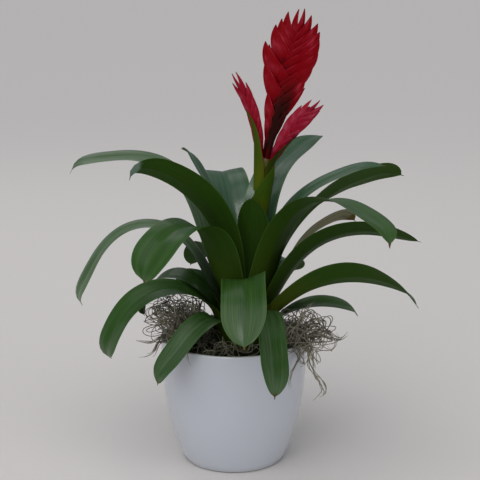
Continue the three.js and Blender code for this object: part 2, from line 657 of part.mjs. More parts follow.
let keepOut = mossKeepOut();
Object.entries(CLUMPS).forEach(([name, clump]) => {
  const body = mossClump(clump, keepOut);
  keepOut = keepOut.add(body);
  bromeliad.add(meshOf(name, toGeometry(body), "#8d8767", 0.9));
});

export default bromeliad;
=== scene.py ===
"""Looks of a potted bromeliad: a glazed pot, strap leaves, a red flower head and dry moss.

Sizes are in millimetres, as a grower would give them, and every mesh is brought to metres at its
end. The plant has a frame of its own: its axis leans a little to the right, about the crown where
the leaves meet the soil.
"""
from __future__ import annotations

import logging
import math
import random
from dataclasses import dataclass
from enum import Enum
from typing import Callable, ClassVar, Iterable, Sequence

import bpy
from mathutils import Matrix, Vector
from mathutils.bvhtree import BVHTree

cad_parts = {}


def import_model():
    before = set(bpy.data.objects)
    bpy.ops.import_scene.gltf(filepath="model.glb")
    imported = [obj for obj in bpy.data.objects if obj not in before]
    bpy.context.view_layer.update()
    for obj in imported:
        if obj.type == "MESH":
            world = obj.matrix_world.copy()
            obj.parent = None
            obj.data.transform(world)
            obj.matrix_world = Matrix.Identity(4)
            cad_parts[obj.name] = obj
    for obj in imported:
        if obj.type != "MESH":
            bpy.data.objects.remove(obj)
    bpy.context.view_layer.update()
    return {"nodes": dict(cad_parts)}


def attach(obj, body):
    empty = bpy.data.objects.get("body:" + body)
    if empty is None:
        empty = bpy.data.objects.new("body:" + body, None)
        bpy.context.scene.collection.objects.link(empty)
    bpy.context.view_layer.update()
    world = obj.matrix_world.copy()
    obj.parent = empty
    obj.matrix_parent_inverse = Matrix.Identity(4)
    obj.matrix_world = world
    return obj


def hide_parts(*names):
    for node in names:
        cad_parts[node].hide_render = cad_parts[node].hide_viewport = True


LOG = logging.getLogger("bromeliad")
BODY = "root"
MILLIMETRE = 0.001

# What the meshes carry for their materials: the map of a blade, 1 on its underside, the share of
# the spike's height, and the distance from the spike's middle.
BLADE_MAP = "Blade"
UNDERSIDE = "underside"
STANDING = "standing"
ASIDE = "aside"

Shade = tuple[int, int, int]
Point = tuple[float, float, float]
Span = tuple[float, float]


def pigment(shade: Shade) -> tuple[float, float, float, float]:
    """Turn a display colour into the linear one that a shader takes.

    Args:
        shade: red, green and blue as seen on a display, 0 to 255.

    Returns:
        The linear colour with full alpha.
    """
    parts = [value / 255 for value in shade]
    linear = [p / 12.92 if p <= 0.04045 else ((p + 0.055) / 1.055) ** 2.4 for p in parts]
    return (linear[0], linear[1], linear[2], 1.0)


# ---------------------------------------------------------------- node boards


def sign(operation: str, swapped: bool = False) -> Callable[["Wire", "Feed"], "Wire"]:
    """Make the method behind an arithmetic sign.

    Args:
        operation: the node's operation.
        swapped: True where the wire stands on the right of the sign.

    Returns:
        The method.
    """
    def apply(wire: "Wire", value: "Feed") -> "Wire":
        """Place the node for one use of the sign."""
        pair = (value, wire) if swapped else (wire, value)
        return wire.board.math(operation, *pair)

    return apply


class Wire:
    """The output of a node, which takes part in ordinary arithmetic."""

    __add__, __radd__ = sign("ADD"), sign("ADD", swapped=True)
    __sub__, __rsub__ = sign("SUBTRACT"), sign("SUBTRACT", swapped=True)
    __mul__ = __rmul__ = sign("MULTIPLY")
    __truediv__, __rtruediv__ = sign("DIVIDE"), sign("DIVIDE", swapped=True)
    __pow__ = sign("POWER")

    def __init__(self, board: "Board", socket: bpy.types.NodeSocket) -> None:
        """Keep the board and the socket."""
        self.board = board
        self.socket = socket

    def other(self, name: str) -> "Wire":
        """Return another output of the same node."""
        return Wire(self.board, Board.socket(self.socket.node.outputs, name))


Feed = Wire | float | tuple | str | bool | list | None


def is_vector(value: Feed) -> bool:
    """True for a tuple, and for a wire that carries vectors."""
    return isinstance(value, tuple) or (isinstance(value, Wire) and value.socket.type == "VECTOR")


class Board:
    """A node tree under construction, with short calls for the nodes that this object needs."""

    def __init__(self, tree: bpy.types.NodeTree) -> None:
        """Keep the tree."""
        self.tree = tree

    @staticmethod
    def socket(sockets: Iterable[bpy.types.NodeSocket], key: str | int) -> bpy.types.NodeSocket:
        """Find a live socket by its name or its place.

        Args:
            sockets: a node's inputs or outputs.
            key: the name, or the index.

        Returns:
            The socket.
        """
        if isinstance(key, int):
            return list(sockets)[key]
        return next(socket for socket in sockets if socket.name == key and socket.enabled)

    def feed(self, socket: bpy.types.NodeSocket, value: Feed) -> None:
        """Link a wire to a socket, or set its value."""
        if isinstance(value, Wire):
            self.tree.links.new(value.socket, socket)
        elif value is not None:
            socket.default_value = value

    def put(self, kind: str, feeds: dict[str | int, Feed] | None = None, out: str | int = 0,
            **settings: object) -> Wire:
        """Place a node.

        Args:
            kind: Blender's name of the node's type.
            feeds: what goes into its inputs, by name or index.
            out: the output to return, by name or index among the live ones.
            settings: the node's own settings.

        Returns:
            The wire of the asked output.
        """
        node = self.tree.nodes.new(kind)
        for name, value in settings.items():
            setattr(node, name, value)
        for key, value in (feeds or {}).items():
            for single in value if isinstance(value, list) else [value]:
                self.feed(self.socket(node.inputs, key), single)
        live = [socket for socket in node.outputs if socket.enabled]
        return Wire(self, self.socket(live, out) if live else node.inputs[0])

    def math(self, operation: str, first: Feed, second: Feed = None) -> Wire:
        """Place a Math or Vector Math node, whichever suits what goes in."""
        vectors = [is_vector(first), is_vector(second)]
        if not any(vectors):
            return self.put("ShaderNodeMath", {0: first, 1: second}, operation=operation)
        if operation == "MULTIPLY" and not all(vectors):
            arrow, factor = (first, second) if vectors[0] else (second, first)
            return self.put("ShaderNodeVectorMath", {0: arrow, 3: factor}, operation="SCALE")
        return self.put("ShaderNodeVectorMath", {0: first, 1: second}, operation=operation)

    def length(self, arrow: Wire) -> Wire:
        """Return the length of a vector."""
        return self.put("ShaderNodeVectorMath", {0: arrow}, out="Value", operation="LENGTH")

    def mix(self, low: Feed, high: Feed, share: Feed) -> Wire:
        """Blend two numbers or vectors."""
        kind = "VECTOR" if is_vector(low) or is_vector(high) else "FLOAT"
        return self.put("ShaderNodeMix", {"A": low, "B": high, "Factor": share}, data_type=kind)

    def ease(self, start: Feed, end: Feed, value: Feed, low: Feed = 0.0, high: Feed = 1.0,
             way: str = "SMOOTHSTEP") -> Wire:
        """Go smoothly from low to high while the value goes from start to end."""
        feeds = {"Value": value, "From Min": start, "From Max": end, "To Min": low, "To Max": high}
        return self.put("ShaderNodeMapRange", feeds, interpolation_type=way)

    def ramp(self, start: Feed, end: Feed, value: Feed, low: Feed = 0.0, high: Feed = 1.0) -> Wire:
        """Go evenly from low to high while the value goes from start to end."""
        return self.ease(start, end, value, low, high, way="LINEAR")

    def xyz(self, x: Feed, y: Feed, z: Feed) -> Wire:
        """Join three numbers into a vector."""
        return self.put("ShaderNodeCombineXYZ", {0: x, 1: y, 2: z})

    def parts(self, arrow: Wire) -> tuple[Wire, Wire, Wire]:
        """Take a vector apart."""
        x = self.put("ShaderNodeSeparateXYZ", {0: arrow})
        return x, x.other("Y"), x.other("Z")

    def noise(self, place: Wire, scale: Feed, detail: float = 2.0, roughness: float = 0.5) -> Wire:
        """Return soft noise between 0 and 1."""
        feeds = {"Vector": place, "Scale": scale, "Detail": detail, "Roughness": roughness}
        return self.put("ShaderNodeTexNoise", feeds, noise_dimensions="3D")


SOCKETS = {
    float: "NodeSocketFloat",
    int: "NodeSocketInt",
    tuple: "NodeSocketVector",
    bpy.types.Material: "NodeSocketMaterial",
    bpy.types.Mesh: "NodeSocketGeometry",
}


class Group(Board):
    """A node group under construction, with named inputs and outputs."""

    def __init__(self, kind: str, title: str, inputs: dict[str, object],
                 outputs: dict[str, type]) -> None:
        """Open the group and make its sockets.

        Args:
            kind: Blender's name of the tree's type.
            title: the group's name.
            inputs: the default of each input, or its type where it has none.
            outputs: the type of each output.
        """
        super().__init__(bpy.data.node_groups.new(title, kind))
        self.identifiers: dict[str, str] = {}
        faces = self.tree.interface
        for name, value in inputs.items():
            bare = isinstance(value, type)
            typed = SOCKETS[value if bare else type(value)]
            made = faces.new_socket(name=name, in_out="INPUT", socket_type=typed)
            if not bare:
                made.default_value = value
            self.identifiers[name] = made.identifier
        for name, value in outputs.items():
            faces.new_socket(name=name, in_out="OUTPUT", socket_type=SOCKETS[value])
        self.entry = self.tree.nodes.new("NodeGroupInput")

    def given(self, name: str) -> Wire:
        """Return a named input of the group."""
        return Wire(self, self.entry.outputs[name])


# ---------------------------------------------------------------- geometry trees


class GrowthTree(Group):
    """A Geometry Nodes tree with named inputs, which makes plain meshes on demand."""

    title: ClassVar[str] = "Growth"
    sizes: ClassVar[dict[str, object]] = {}
    CREASE: ClassVar[float] = 70.0  # degrees; sharper edges aren't shaded smoothly
    WELD: ClassVar[float] = 0.002

    def __init__(self) -> None:
        """Open the tree and build it."""
        inputs = {"Geometry": bpy.types.Mesh, **self.sizes, "Material": bpy.types.Material}
        super().__init__("GeometryNodeTree", self.title, inputs, {"Geometry": bpy.types.Mesh})
        self.tree.is_modifier = True
        real = self.put("GeometryNodeRealizeInstances", {"Geometry": self.build()})
        feeds = {"Geometry": real, "Material": self.given("Material")}
        self.put("NodeGroupOutput", {"Geometry": self.put("GeometryNodeSetMaterial", feeds)})

    def build(self) -> Wire:
        """Return the geometry that the tree makes."""
        raise NotImplementedError

    def position(self) -> Wire:
        """Return where each point is."""
        return self.put("GeometryNodeInputPosition")

    def shift(self, geometry: Wire, **how: Wire) -> Wire:
        """Give the points a new place, or an offset."""
        feeds = {"Geometry": geometry, **{key.title(): value for key, value in how.items()}}
        return self.put("GeometryNodeSetPosition", feeds)

    def store(self, geometry: Wire, name: str, value: Feed, domain: str,
              kind: str = "FLOAT") -> Wire:
        """Store a value on the geometry under a name."""
        feeds = {"Geometry": geometry, "Name": name, "Value": value}
        return self.put("GeometryNodeStoreNamedAttribute", feeds, data_type=kind, domain=domain)

    def join(self, parts: list[Wire]) -> Wire:
        """Join several geometries."""
        return self.put("GeometryNodeJoinGeometry", {"Geometry": parts})

    def in_metres(self, geometry: Wire, **feeds: Feed) -> Wire:
        """Bring the geometry from millimetres to metres, and place it if asked."""
        placed = {key.title(): value for key, value in feeds.items()}
        return self.put("GeometryNodeTransform",
                        {"Geometry": geometry, **placed, "Scale": (MILLIMETRE,) * 3})

    def in_plant(self, geometry: Wire) -> Wire:
        """Lean the grown geometry with the plant and bring it to metres."""
        lean = self.xyz(0.0, self.given("Lean"), 0.0)
        return self.in_metres(geometry, translation=self.given("Crown"), rotation=lean)

    def mapped_grid(self, columns: Feed, rows: Feed) -> tuple[Wire, Wire, Wire]:
        """Lay out a sheet.

        Args:
            columns: points along it.
            rows: points across it.

        Returns:
            The sheet with its map, the place along it from 0 to 1, and across it from -1 to 1.
        """
        feeds = {"Size X": 1.0, "Size Y": 1.0, "Vertices X": columns, "Vertices Y": rows}
        grid = self.put("GeometryNodeMeshGrid", feeds)
        x, y, _ = self.parts(self.position())
        along = x + 0.5
        return self.keep_map(grid, along, y + 0.5), along, y * 2.0

    def keep_map(self, sheet: Wire, along: Wire, across: Wire) -> Wire:
        """Store the place along and across a blade as the sheet's own map."""
        return self.store(sheet, BLADE_MAP, self.xyz(along, across, 0.0), "CORNER", "FLOAT2")

    def fullness(self) -> tuple[Wire, Wire]:
        """Return the stored place along a sheet, and how full it is between its edges."""
        named = {"Name": BLADE_MAP}
        saved = self.put("GeometryNodeInputNamedAttribute", named, data_type="FLOAT_VECTOR")
        along, across, _ = self.parts(saved)
        across = across * 2.0 - 1.0
        return along, self.math("SQRT", self.math("MAXIMUM", 1.0 - across * across, 0.0))

    def thin_sheet(self, sheet: Wire, fullness: Wire, outer: float) -> Wire:
        """Give a sheet a thickness that runs out to nothing at its edges.

        Args:
            sheet: the open sheet, with its upper side outwards.
            fullness: a field, 1 where the sheet is full and 0 at its edges.
            outer: the share of the thickness that lies on the upper side.

        Returns:
            The closed sheet, with the underside marked.
        """
        normal = self.put("GeometryNodeInputNormal")
        depth = fullness * self.given("Thickness")
        upper = self.shift(sheet, offset=normal * (depth * outer))
        under = self.shift(sheet, offset=normal * (depth * (outer - 1)))
        under = self.put("GeometryNodeFlipFaces", {"Mesh": under})
        both = self.join([self.store(side, UNDERSIDE, mark, "FACE")
                          for side, mark in ((under, 1.0), (upper, 0.0))])
        feeds = {"Geometry": both, "Distance": self.WELD}
        return self.smooth(self.put("GeometryNodeMergeByDistance", feeds))

    def smooth(self, geometry: Wire) -> Wire:
        """Shade smoothly, but not across sharp edges."""
        kind = "GeometryNodeSetShadeSmooth"
        faces = self.put(kind, {"Geometry": geometry, "Shade Smooth": True}, domain="FACE")
        bend = self.put("GeometryNodeInputMeshEdgeAngle", out="Unsigned Angle")
        sharp = self.put("FunctionNodeCompare", {"A": bend, "B": math.radians(self.CREASE)},
                         data_type="FLOAT", operation="GREATER_THAN")
        feeds = {"Geometry": faces, "Selection": sharp, "Shade Smooth": False}
        return self.put(kind, feeds, domain="EDGE")

    def grow(self, name: str, seedling: bpy.types.Mesh, sizes: dict[str, object],
             material: bpy.types.Material) -> bpy.types.Object:
        """Run the tree on a mesh and keep the result as a plain mesh.

        Args:
            name: the piece's name.
            seedling: the mesh that the tree starts from.
            sizes: values for the tree's named inputs.
            material: what the piece is dressed in.

        Returns:
            The piece's object, with no modifier left on it.
        """
        piece = bpy.data.objects.new(name, seedling)
        bpy.context.scene.collection.objects.link(piece)
        modifier = piece.modifiers.new(self.title, "NODES")
        modifier.node_group = self.tree
        for key, value in sizes.items():
            modifier[self.identifiers[key]] = type(self.sizes[key])(value)
        modifier[self.identifiers["Material"]] = material
        graph = bpy.context.evaluated_depsgraph_get()
        mesh = bpy.data.meshes.new_from_object(piece.evaluated_get(graph))
        mesh.name = name
        piece.modifiers.remove(modifier)
        piece.data = mesh
        bpy.data.meshes.remove(seedling)
        return piece


PLANT_SIZES = {"Crown": (0.0, 0.0, 0.0), "Lean": 0.0}


class BladeTree(GrowthTree):
    """A strap leaf or bract: a sheath that clasps the crown, then a channelled, arching blade."""

    title = "Strap Blade"
    sizes = {
        "Stations": 64, "Strips": 17,
        "Azimuth": 0.0, "Sweep": 0.0, "Ring": 10.0, "Foot": 0.0, "Length": 200.0, "Width": 35.0,
        "Start": 88.0, "Rise": 80.0, "Fall": 0.0, "Bend From": 0.0, "Bend To": 1.0, "Roll": 0.0,
        "Hook": 0.0, "Takeover From": 14.0, "Takeover To": 42.0, "Opens From": 18.0,
        "Opens To": 70.0, "Channel": 0.42, "Widest Wrap": 1.9, "Foot Width": 1.0,
        "Shoulder": 0.72, "Taper": 2.2, "Round Off": 0.75, "Point": 0.985, "Fold": 5.0,
        "Curl": 0.0, "Thickness": 0.7, "Tip": 0.3, "Ripple": 0.8, "Ripple Place": 0.0,
        **PLANT_SIZES,
    }
    # Shares of the length between which the blade turns aside, hooks, curls its end, reaches its
    # full width, rolls, flattens, creases and ripples.
    TURNS: ClassVar[Span] = (0.1, 1.0)
    HOOKS: ClassVar[Span] = (0.84, 1.0)
    CURLS: ClassVar[Span] = (0.92, 1.0)
    WIDENS: ClassVar[Span] = (0.0, 0.5)
    ROLLS: ClassVar[Span] = (0.12, 0.7)
    FLATTENS: ClassVar[Span] = (0.55, 1.0)
    CREASES: ClassVar[Span] = (0.12, 0.45)
    RIPPLES: ClassVar[Span] = (0.3, 0.6)
    FLATTENED: ClassVar[float] = 0.5  # share of the channel's depth left at the tip
    NEEDLE: ClassVar[Span] = (0.03, 1.6)  # the bare point's share of the length, half its width
    RIPPLE_PITCH: ClassVar[Span] = (0.02, 0.6)  # per millimetre along, per half width across
    CLOSES: ClassVar[Span] = (0.03, 0.97)  # shares of the length where it has its full thickness

    def span(self, start: str, end: str, value: Wire) -> Wire:
        """Go smoothly from 0 to 1 while the value goes from one input to another."""
        return self.ease(self.given(start), self.given(end), value)

    def direction(self, heading: Wire, pitch: Wire) -> Wire:
        """Return the unit vector of a heading and a pitch, both in degrees."""
        turn, climb = self.math("RADIANS", heading), self.math("RADIANS", pitch)
        level = self.math("COSINE", climb)
        across, ahead = level * self.math("COSINE", turn), level * self.math("SINE", turn)
        return self.xyz(across, ahead, self.math("SINE", climb))

    def heading(self, along: Wire) -> Wire:
        """Return the compass direction of the midrib at a share of its length."""
        return self.given("Azimuth") + self.given("Sweep") * self.ease(*self.TURNS, along)

    def tangent(self, along: Wire) -> Wire:
        """Return the direction of the midrib at a share of its length."""
        bend = self.span("Bend From", "Bend To", along)
        hook = self.given("Hook") * self.ease(*self.HOOKS, along)
        hook = hook + self.given("Curl") * self.ease(*self.CURLS, along)
        arch = self.mix(self.given("Rise"), self.given("Fall"), bend) + hook
        takeover = self.span("Takeover From", "Takeover To", along * self.given("Length"))
        return self.direction(self.heading(along), self.mix(self.given("Start"), arch, takeover))

    def half_width(self, along: Wire) -> Wire:
        """Return half the width of the blade at a share of its length."""
        body = self.mix(self.given("Foot Width"), 1.0, self.ease(*self.WIDENS, along))
        shoulder, point = self.given("Shoulder"), self.given("Point")
        past = self.math("MAXIMUM", (along - shoulder) / (point - shoulder), 0.0)
        taper = self.math("MAXIMUM", 1.0 - past ** self.given("Taper"), 0.0)
        taper = taper ** self.given("Round Off")
        share, thick = self.NEEDLE
        needle = self.ramp(point - share, 1.0, along, thick, 0.0)
        least = self.math("MAXIMUM", needle, self.given("Tip"))
        return self.math("MAXIMUM", self.given("Width") * 0.5 * body * taper, least)

    def midrib(self, along: Wire) -> Wire:
        """Walk up the midrib and return where each station is."""
        step = 1.0 / (self.given("Stations") - 1.0)
        started = self.math("GREATER_THAN", along, step * 0.5)
        stride = self.tangent(along - step * 0.5) * (step * self.given("Length") * started)
        column = self.math("MODULO", self.put("GeometryNodeInputIndex"), self.given("Strips"))
        walked = self.put("GeometryNodeAccumulateField", {"Value": stride, "Group ID": column},
                          data_type="FLOAT_VECTOR", domain="POINT")
        azimuth = self.given("Azimuth")
        foot = self.direction(azimuth, azimuth * 0.0) * self.given("Ring")
        return foot + self.xyz(0.0, 0.0, self.given("Foot")) + walked

    def build(self) -> Wire:
        """Shape a flat grid into the blade."""
        sheet, along, across = self.mapped_grid(self.given("Stations"), self.given("Strips"))
        midrib, tangent = self.midrib(along), self.tangent(along)
        level = self.direction(self.heading(along) + 90.0, along * 0.0)
        twist = self.math("RADIANS", self.given("Roll") * self.ease(*self.ROLLS, along))
        side = level * self.math("COSINE", twist)
        side = side + self.math("CROSS_PRODUCT", tangent, level) * self.math("SINE", twist)
        upward = self.math("CROSS_PRODUCT", tangent, side)

        half = self.half_width(along)
        reach = self.length(midrib * (1.0, 1.0, 0.0))
        clasped = self.math("MINIMUM", half / reach, self.given("Widest Wrap"))
        opened = self.given("Channel") * self.ease(*self.FLATTENS, along, 1.0, self.FLATTENED)
        opens = self.span("Opens From", "Opens To", along * self.given("Length"))
        wrap = self.mix(clasped, opened, opens)
        radius, angle = half / wrap, wrap * across
        inward = upward * self.math("COSINE", angle) - side * self.math("SINE", angle)
        place = midrib + upward * radius - inward * radius

        away = self.math("ABSOLUTE", across)
        crease = (away - away * away) * self.ease(*self.CREASES, along)
        crease = crease * (half / (self.given("Width") * 0.5))
        place = place + inward * (crease * self.given("Fold"))

        far, wide = self.RIPPLE_PITCH
        far = along * self.given("Length") * far
        phase = self.xyz(far, across * wide, self.given("Ripple Place"))
        edge = across * across * self.ease(*self.RIPPLES, along)
        wave = (self.noise(phase, 1.0, 1.0) - 0.5) * edge * self.given("Ripple") * 2.0
        shaped = self.shift(sheet, position=place + inward * wave)

        kept, rim = self.fullness()
        full, ends = self.CLOSES
        ends = self.ease(0.0, full, kept) * self.ease(1.0, ends, kept)
        return self.in_plant(self.thin_sheet(shaped, rim * ends, 0.5))


class FoldedBractTree(GrowthTree):
    """The boat-shaped bracts of a flower spike, one per point of the seedling, and their axis."""

    title = "Folded Bracts"
    sizes = {
        "Length": 148.0, "Bract Length": 46.0, "Half Depth": 4.8, "Free Tip": 0.3, "Bow": 0.0,
        "Stalk": 3.0, "Core Width": 4.5, "Core Start": 12.0, "Thickness": 0.55, "Tilt": 0.0,
        "Across": 0.0, "Foot": 177.0, **PLANT_SIZES,
    }
    SHEET: ClassVar[tuple[int, int]] = (22, 15)  # a bract's points along it and across it
    WAIST: ClassVar[float] = 0.55  # share of a bract's length where it stands off furthest
    KEEL_BULGE: ClassVar[float] = 1.3
    OPEN_BULGE: ClassVar[Span] = (-0.3, -0.55)  # of the open margin, low down and higher up
    OPEN_FROM: ClassVar[float] = 0.25  # share of a bract's length where its margin turns up
    OPEN_TO: ClassVar[float] = 2.1  # free tips below the point where it bulges last
    OPEN_END: ClassVar[Span] = (0.6, 0.4)  # how far the margin ends beside and below the point
    FLARES: ClassVar[Span] = (0.0, 0.6)
    FLARE: ClassVar[Point] = (0.4, 1.0, 0.14)  # depth at the root, at the belly and at the tip
    FULLNESS: ClassVar[float] = 1.84
    CLOSES: ClassVar[Span] = (0.05, 0.94)  # shares of a bract where it has its full thickness
    ROD: ClassVar[tuple[int, int]] = (20, 28)  # the axis: points around, and steps along
    ROOTED: ClassVar[float] = 2.0  # how deep the axis stands in the stem
    AXIS_DEPTH: ClassVar[Span] = (1.15, 0.6)  # of the stalk, and of the bracts' half depth
    CORE_REACH: ClassVar[float] = 0.87  # share of the spike that the axis reaches up
    CORE_FULL: ClassVar[Span] = (0.4, 0.85)  # shares of the height between which it thins
    CORE_THIN: ClassVar[float] = 0.6
    SINKS: ClassVar[Span] = (0.3, 0.46)  # shares of the height where the bracts cover the axis

    def bezier(self, points: Sequence[tuple[Feed, Feed]], along: Wire) -> tuple[Wire, Wire]:
        """Return side and height at a share of the Bezier curve through its control points."""
        while len(points) > 1:
            points = [tuple(self.mix(near, far, along) for near, far in zip(*pair))
                      for pair in zip(points, points[1:])]
        return points[0]

    def attribute(self, name: str) -> Wire:
        """Return a number that the seedling's points carry."""
        return self.put("GeometryNodeInputNamedAttribute", {"Name": name}, data_type="FLOAT")

    def spike_frame(self, side: Wire, depth: Wire, height: Wire) -> Wire:
        """Bow, tilt and place a point of the spike in the plant's frame."""
        share = self.ramp(0.0, self.given("Length"), height)
        bowed = side + self.given("Bow") * self.math("SINE", share * math.pi)
        tilt = self.math("RADIANS", self.given("Tilt"))
        cosine, sine = self.math("COSINE", tilt), self.math("SINE", tilt)
        return self.xyz(bowed * cosine + height * sine + self.given("Across"), depth,
                        height * cosine - bowed * sine + self.given("Foot"))

    def bracts(self) -> Wire:
        """Shape one folded bract at each point."""
        mapped, along, fold = self.mapped_grid(*self.SHEET)
        feeds = {"Points": self.given("Geometry"), "Instance": mapped}
        placed = self.put("GeometryNodeInstanceOnPoints", feeds)
        sheets = self.put("GeometryNodeRealizeInstances", {"Geometry": placed})
        tip, side, bulge = (self.attribute(name) for name in ("tip", "side", "bulge"))
        hand = self.math("SIGN", side)
        reach = self.given("Bract Length")
        root = tip - reach
        keel = self.bezier([(0.0, root), (bulge * self.KEEL_BULGE, root + reach * self.WAIST),
                            (side, tip)], along)
        free = reach * self.given("Free Tip")
        low, high = self.OPEN_BULGE
        beside, below = self.OPEN_END
        margin = self.bezier([(bulge * low, root + reach * self.OPEN_FROM),
                              (bulge * high, tip - free * self.OPEN_TO),
                              (side * 0.5, tip - free), (side - hand * beside, tip - below)],
                             along)
        open_share = self.math("ABSOLUTE", fold)
        at_root, at_belly, at_tip = self.FLARE
        flare = self.ease(*self.FLARES, along, at_root, at_belly)
        flare = flare * self.ease(self.FLARES[1], 1.0, along, at_belly, at_tip)
        round_off = 1.0 - (self.math("MAXIMUM", 1.0 - open_share, 0.0) ** self.FULLNESS)
        depth = self.given("Half Depth") * flare * round_off
        depth = depth * self.math("SIGN", fold) * (hand * -1.0)
        aside = self.mix(keel[0], margin[0], open_share)
        place = self.spike_frame(aside, depth, self.mix(keel[1], margin[1], open_share))
        shaped = self.shift(self.store(sheets, ASIDE, aside, "POINT"), position=place)
        kept, rim = self.fullness()
        full, ends = self.CLOSES
        rim = rim * self.ease(0.0, full, kept) * self.ease(1.0, ends, kept)
        return self.thin_sheet(shaped, rim, 0.0)

    def axis(self) -> Wire:
        """Shape the stalk and the core of the spike."""
        around, steps = self.ROD
        feeds = {"Vertices": around, "Side Segments": steps, "Radius": 1.0, "Depth": 1.0}
        rod = self.put("GeometryNodeMeshCylinder", feeds)
        x, y, z = self.parts(self.position())
        share, length = z + 0.5, self.given("Length")
        height = share * length * self.CORE_REACH - self.ROOTED
        stalk, core = self.given("Stalk"), self.given("Core Width")
        full, thin = (length * part for part in self.CORE_FULL)
        belly = self.ramp(self.given("Core Start"), full, height)
        thinning = self.ramp(full, thin, height, 1.0, self.CORE_THIN)
        wide = self.mix(stalk, core, belly) * thinning
        sunk = self.ease(*(length * part for part in self.SINKS), height)
        below, above = self.AXIS_DEPTH
        deep = self.mix(stalk * below, self.given("Half Depth") * above * thinning, sunk)
        mapped = self.keep_map(rod, share * 0.4, x * 0.5 + 0.5)
        shaped = self.shift(mapped, position=self.spike_frame(x * wide, y * deep, height))
        return self.smooth(self.store(shaped, UNDERSIDE, 0.0, "FACE"))

    def build(self) -> Wire:
        """Join the bracts and their axis."""
        whole = self.join([self.axis(), self.bracts()])
        height = self.parts(self.position())[2]
        share = (height - self.given("Foot")) / self.given("Length")
        return self.in_plant(self.store(whole, STANDING, share, "POINT"))


class StrandTree(GrowthTree):
    """Wiry strands of dry moss along guide lines, with kinks and an uneven thickness."""

    title = "Moss Strands"
    sizes = {"Radius": 0.4, "Spacing": 1.9, "Kink": 0.45, "Seed": 0.0, "Sides": 5}
    KINKS: ClassVar[Span] = (0.12, 4.0)  # per millimetre, and their swing per unit of Kink
    GIRTH_PITCH: ClassVar[float] = 0.11  # per millimetre
    GIRTH: ClassVar[Span] = (0.65, 0.7)  # the least, and what the swelling adds
    THINS: ClassVar[Span] = (0.85, 0.35)  # share of the strand where it starts, and the end's girth

    def build(self) -> Wire:
        """Turn the seedling's lines into strands."""
        lines = self.put("GeometryNodeMeshToCurve", {"Mesh": self.given("Geometry")})
        feeds = {"Curve": lines, "Length": self.given("Spacing")}
        even = self.put("GeometryNodeResampleCurve", feeds, mode="LENGTH")
        place = self.position() + self.xyz(self.given("Seed"), 0.0, 0.0)
        pitch, swing = self.KINKS
        feeds = {"Vector": place, "Scale": pitch, "Detail": 2.0}
        shake = self.put("ShaderNodeTexNoise", feeds, out="Color")
        feeds = {0: shake, 1: (0.5,) * 3}
        toss = self.put("ShaderNodeVectorMath", feeds, operation="SUBTRACT")
        kinked = self.shift(even, offset=toss * (self.given("Kink") * swing))
        share = self.put("GeometryNodeSplineParameter", out="Factor")
        least, more = self.GIRTH
        girth = self.noise(place, self.GIRTH_PITCH, 1.0) * more + least
        thin_from, thin_end = self.THINS
        feeds = {"Resolution": self.given("Sides"), "Radius": self.given("Radius")}
        ring = self.put("GeometryNodeCurvePrimitiveCircle", feeds)
        feeds = {"Curve": kinked, "Profile Curve": ring, "Fill Caps": True,
                 "Scale": girth * self.ease(1.0, thin_from, share, thin_end, 1.0)}
        tube = self.put("GeometryNodeCurveToMesh", feeds)
        feeds = {"Geometry": tube, "Shade Smooth": True}
        return self.in_metres(self.put("GeometryNodeSetShadeSmooth", feeds, domain="FACE"))


class CrumbTree(GrowthTree):
    """Potting soil: the bed that it starts from, made rough, and crumbs strewn over its top."""

    title = "Soil Crumbs"
    sizes = {"Density": 0.12, "Crumb": 1.1, "Seed": 5, "Roughness": 1.0, "Top": 113.0}
    LEAST: ClassVar[Point] = (0.3, 0.25, 0.2)  # a crumb's scale
    MOST: ClassVar[Point] = (1.7, 1.1, 0.8)
    LUMPS: ClassVar[Point] = (0.16, 4.0, 0.65)  # pitch per millimetre, detail and roughness
    LUMP_HEIGHT: ClassVar[float] = 3.0  # millimetres per unit of Roughness

    def chance(self, low: Point, high: Point, seed: int) -> Wire:
        """Return a random vector for each crumb."""
        feeds = {"Min": low, "Max": high, "Seed": seed}
        return self.put("FunctionNodeRandomValue", feeds, data_type="FLOAT_VECTOR")

    def build(self) -> Wire:
        """Roughen the bed and strew the crumbs."""
        place = self.position()
        top = self.math("GREATER_THAN", self.parts(place)[2], self.given("Top"))
        lumps = (self.noise(place, *self.LUMPS) - 0.5) * self.given("Roughness")
        lumps = lumps * self.LUMP_HEIGHT * top
        bed = self.shift(self.given("Geometry"), offset=self.xyz(0.0, 0.0, lumps))
        feeds = {"Mesh": bed, "Selection": top, "Density": self.given("Density"),
                 "Seed": self.given("Seed")}
        scatter = self.put("GeometryNodeDistributePointsOnFaces", feeds)
        feeds = {"Radius": self.given("Crumb"), "Subdivisions": 1}
        crumb = self.put("GeometryNodeMeshIcoSphere", feeds)
        feeds = {"Points": scatter, "Instance": crumb,
                 "Rotation": self.chance((0.0,) * 3, (math.tau,) * 3, 2),
                 "Scale": self.chance(self.LEAST, self.MOST, 3)}
        return self.in_metres(self.join([bed, self.put("GeometryNodeInstanceOnPoints", feeds)]))


# ---------------------------------------------------------------- shader groups and finishes


class Effect(Group):
    """A shader node group that several finishes share."""

    def __init__(self, title: str, inputs: dict[str, object], *outputs: str) -> None:
        """Open the group and make its sockets."""
        super().__init__("ShaderNodeTree", title, inputs, {name: float for name in outputs})

    def close(self, **results: Wire) -> "Effect":
        """Wire the results to the group's outputs, whose names are given in small letters."""
        node = self.tree.nodes.new("NodeGroupOutput")
        for name, wire in results.items():
            self.tree.links.new(wire.socket, node.inputs[name.title()])
        return self


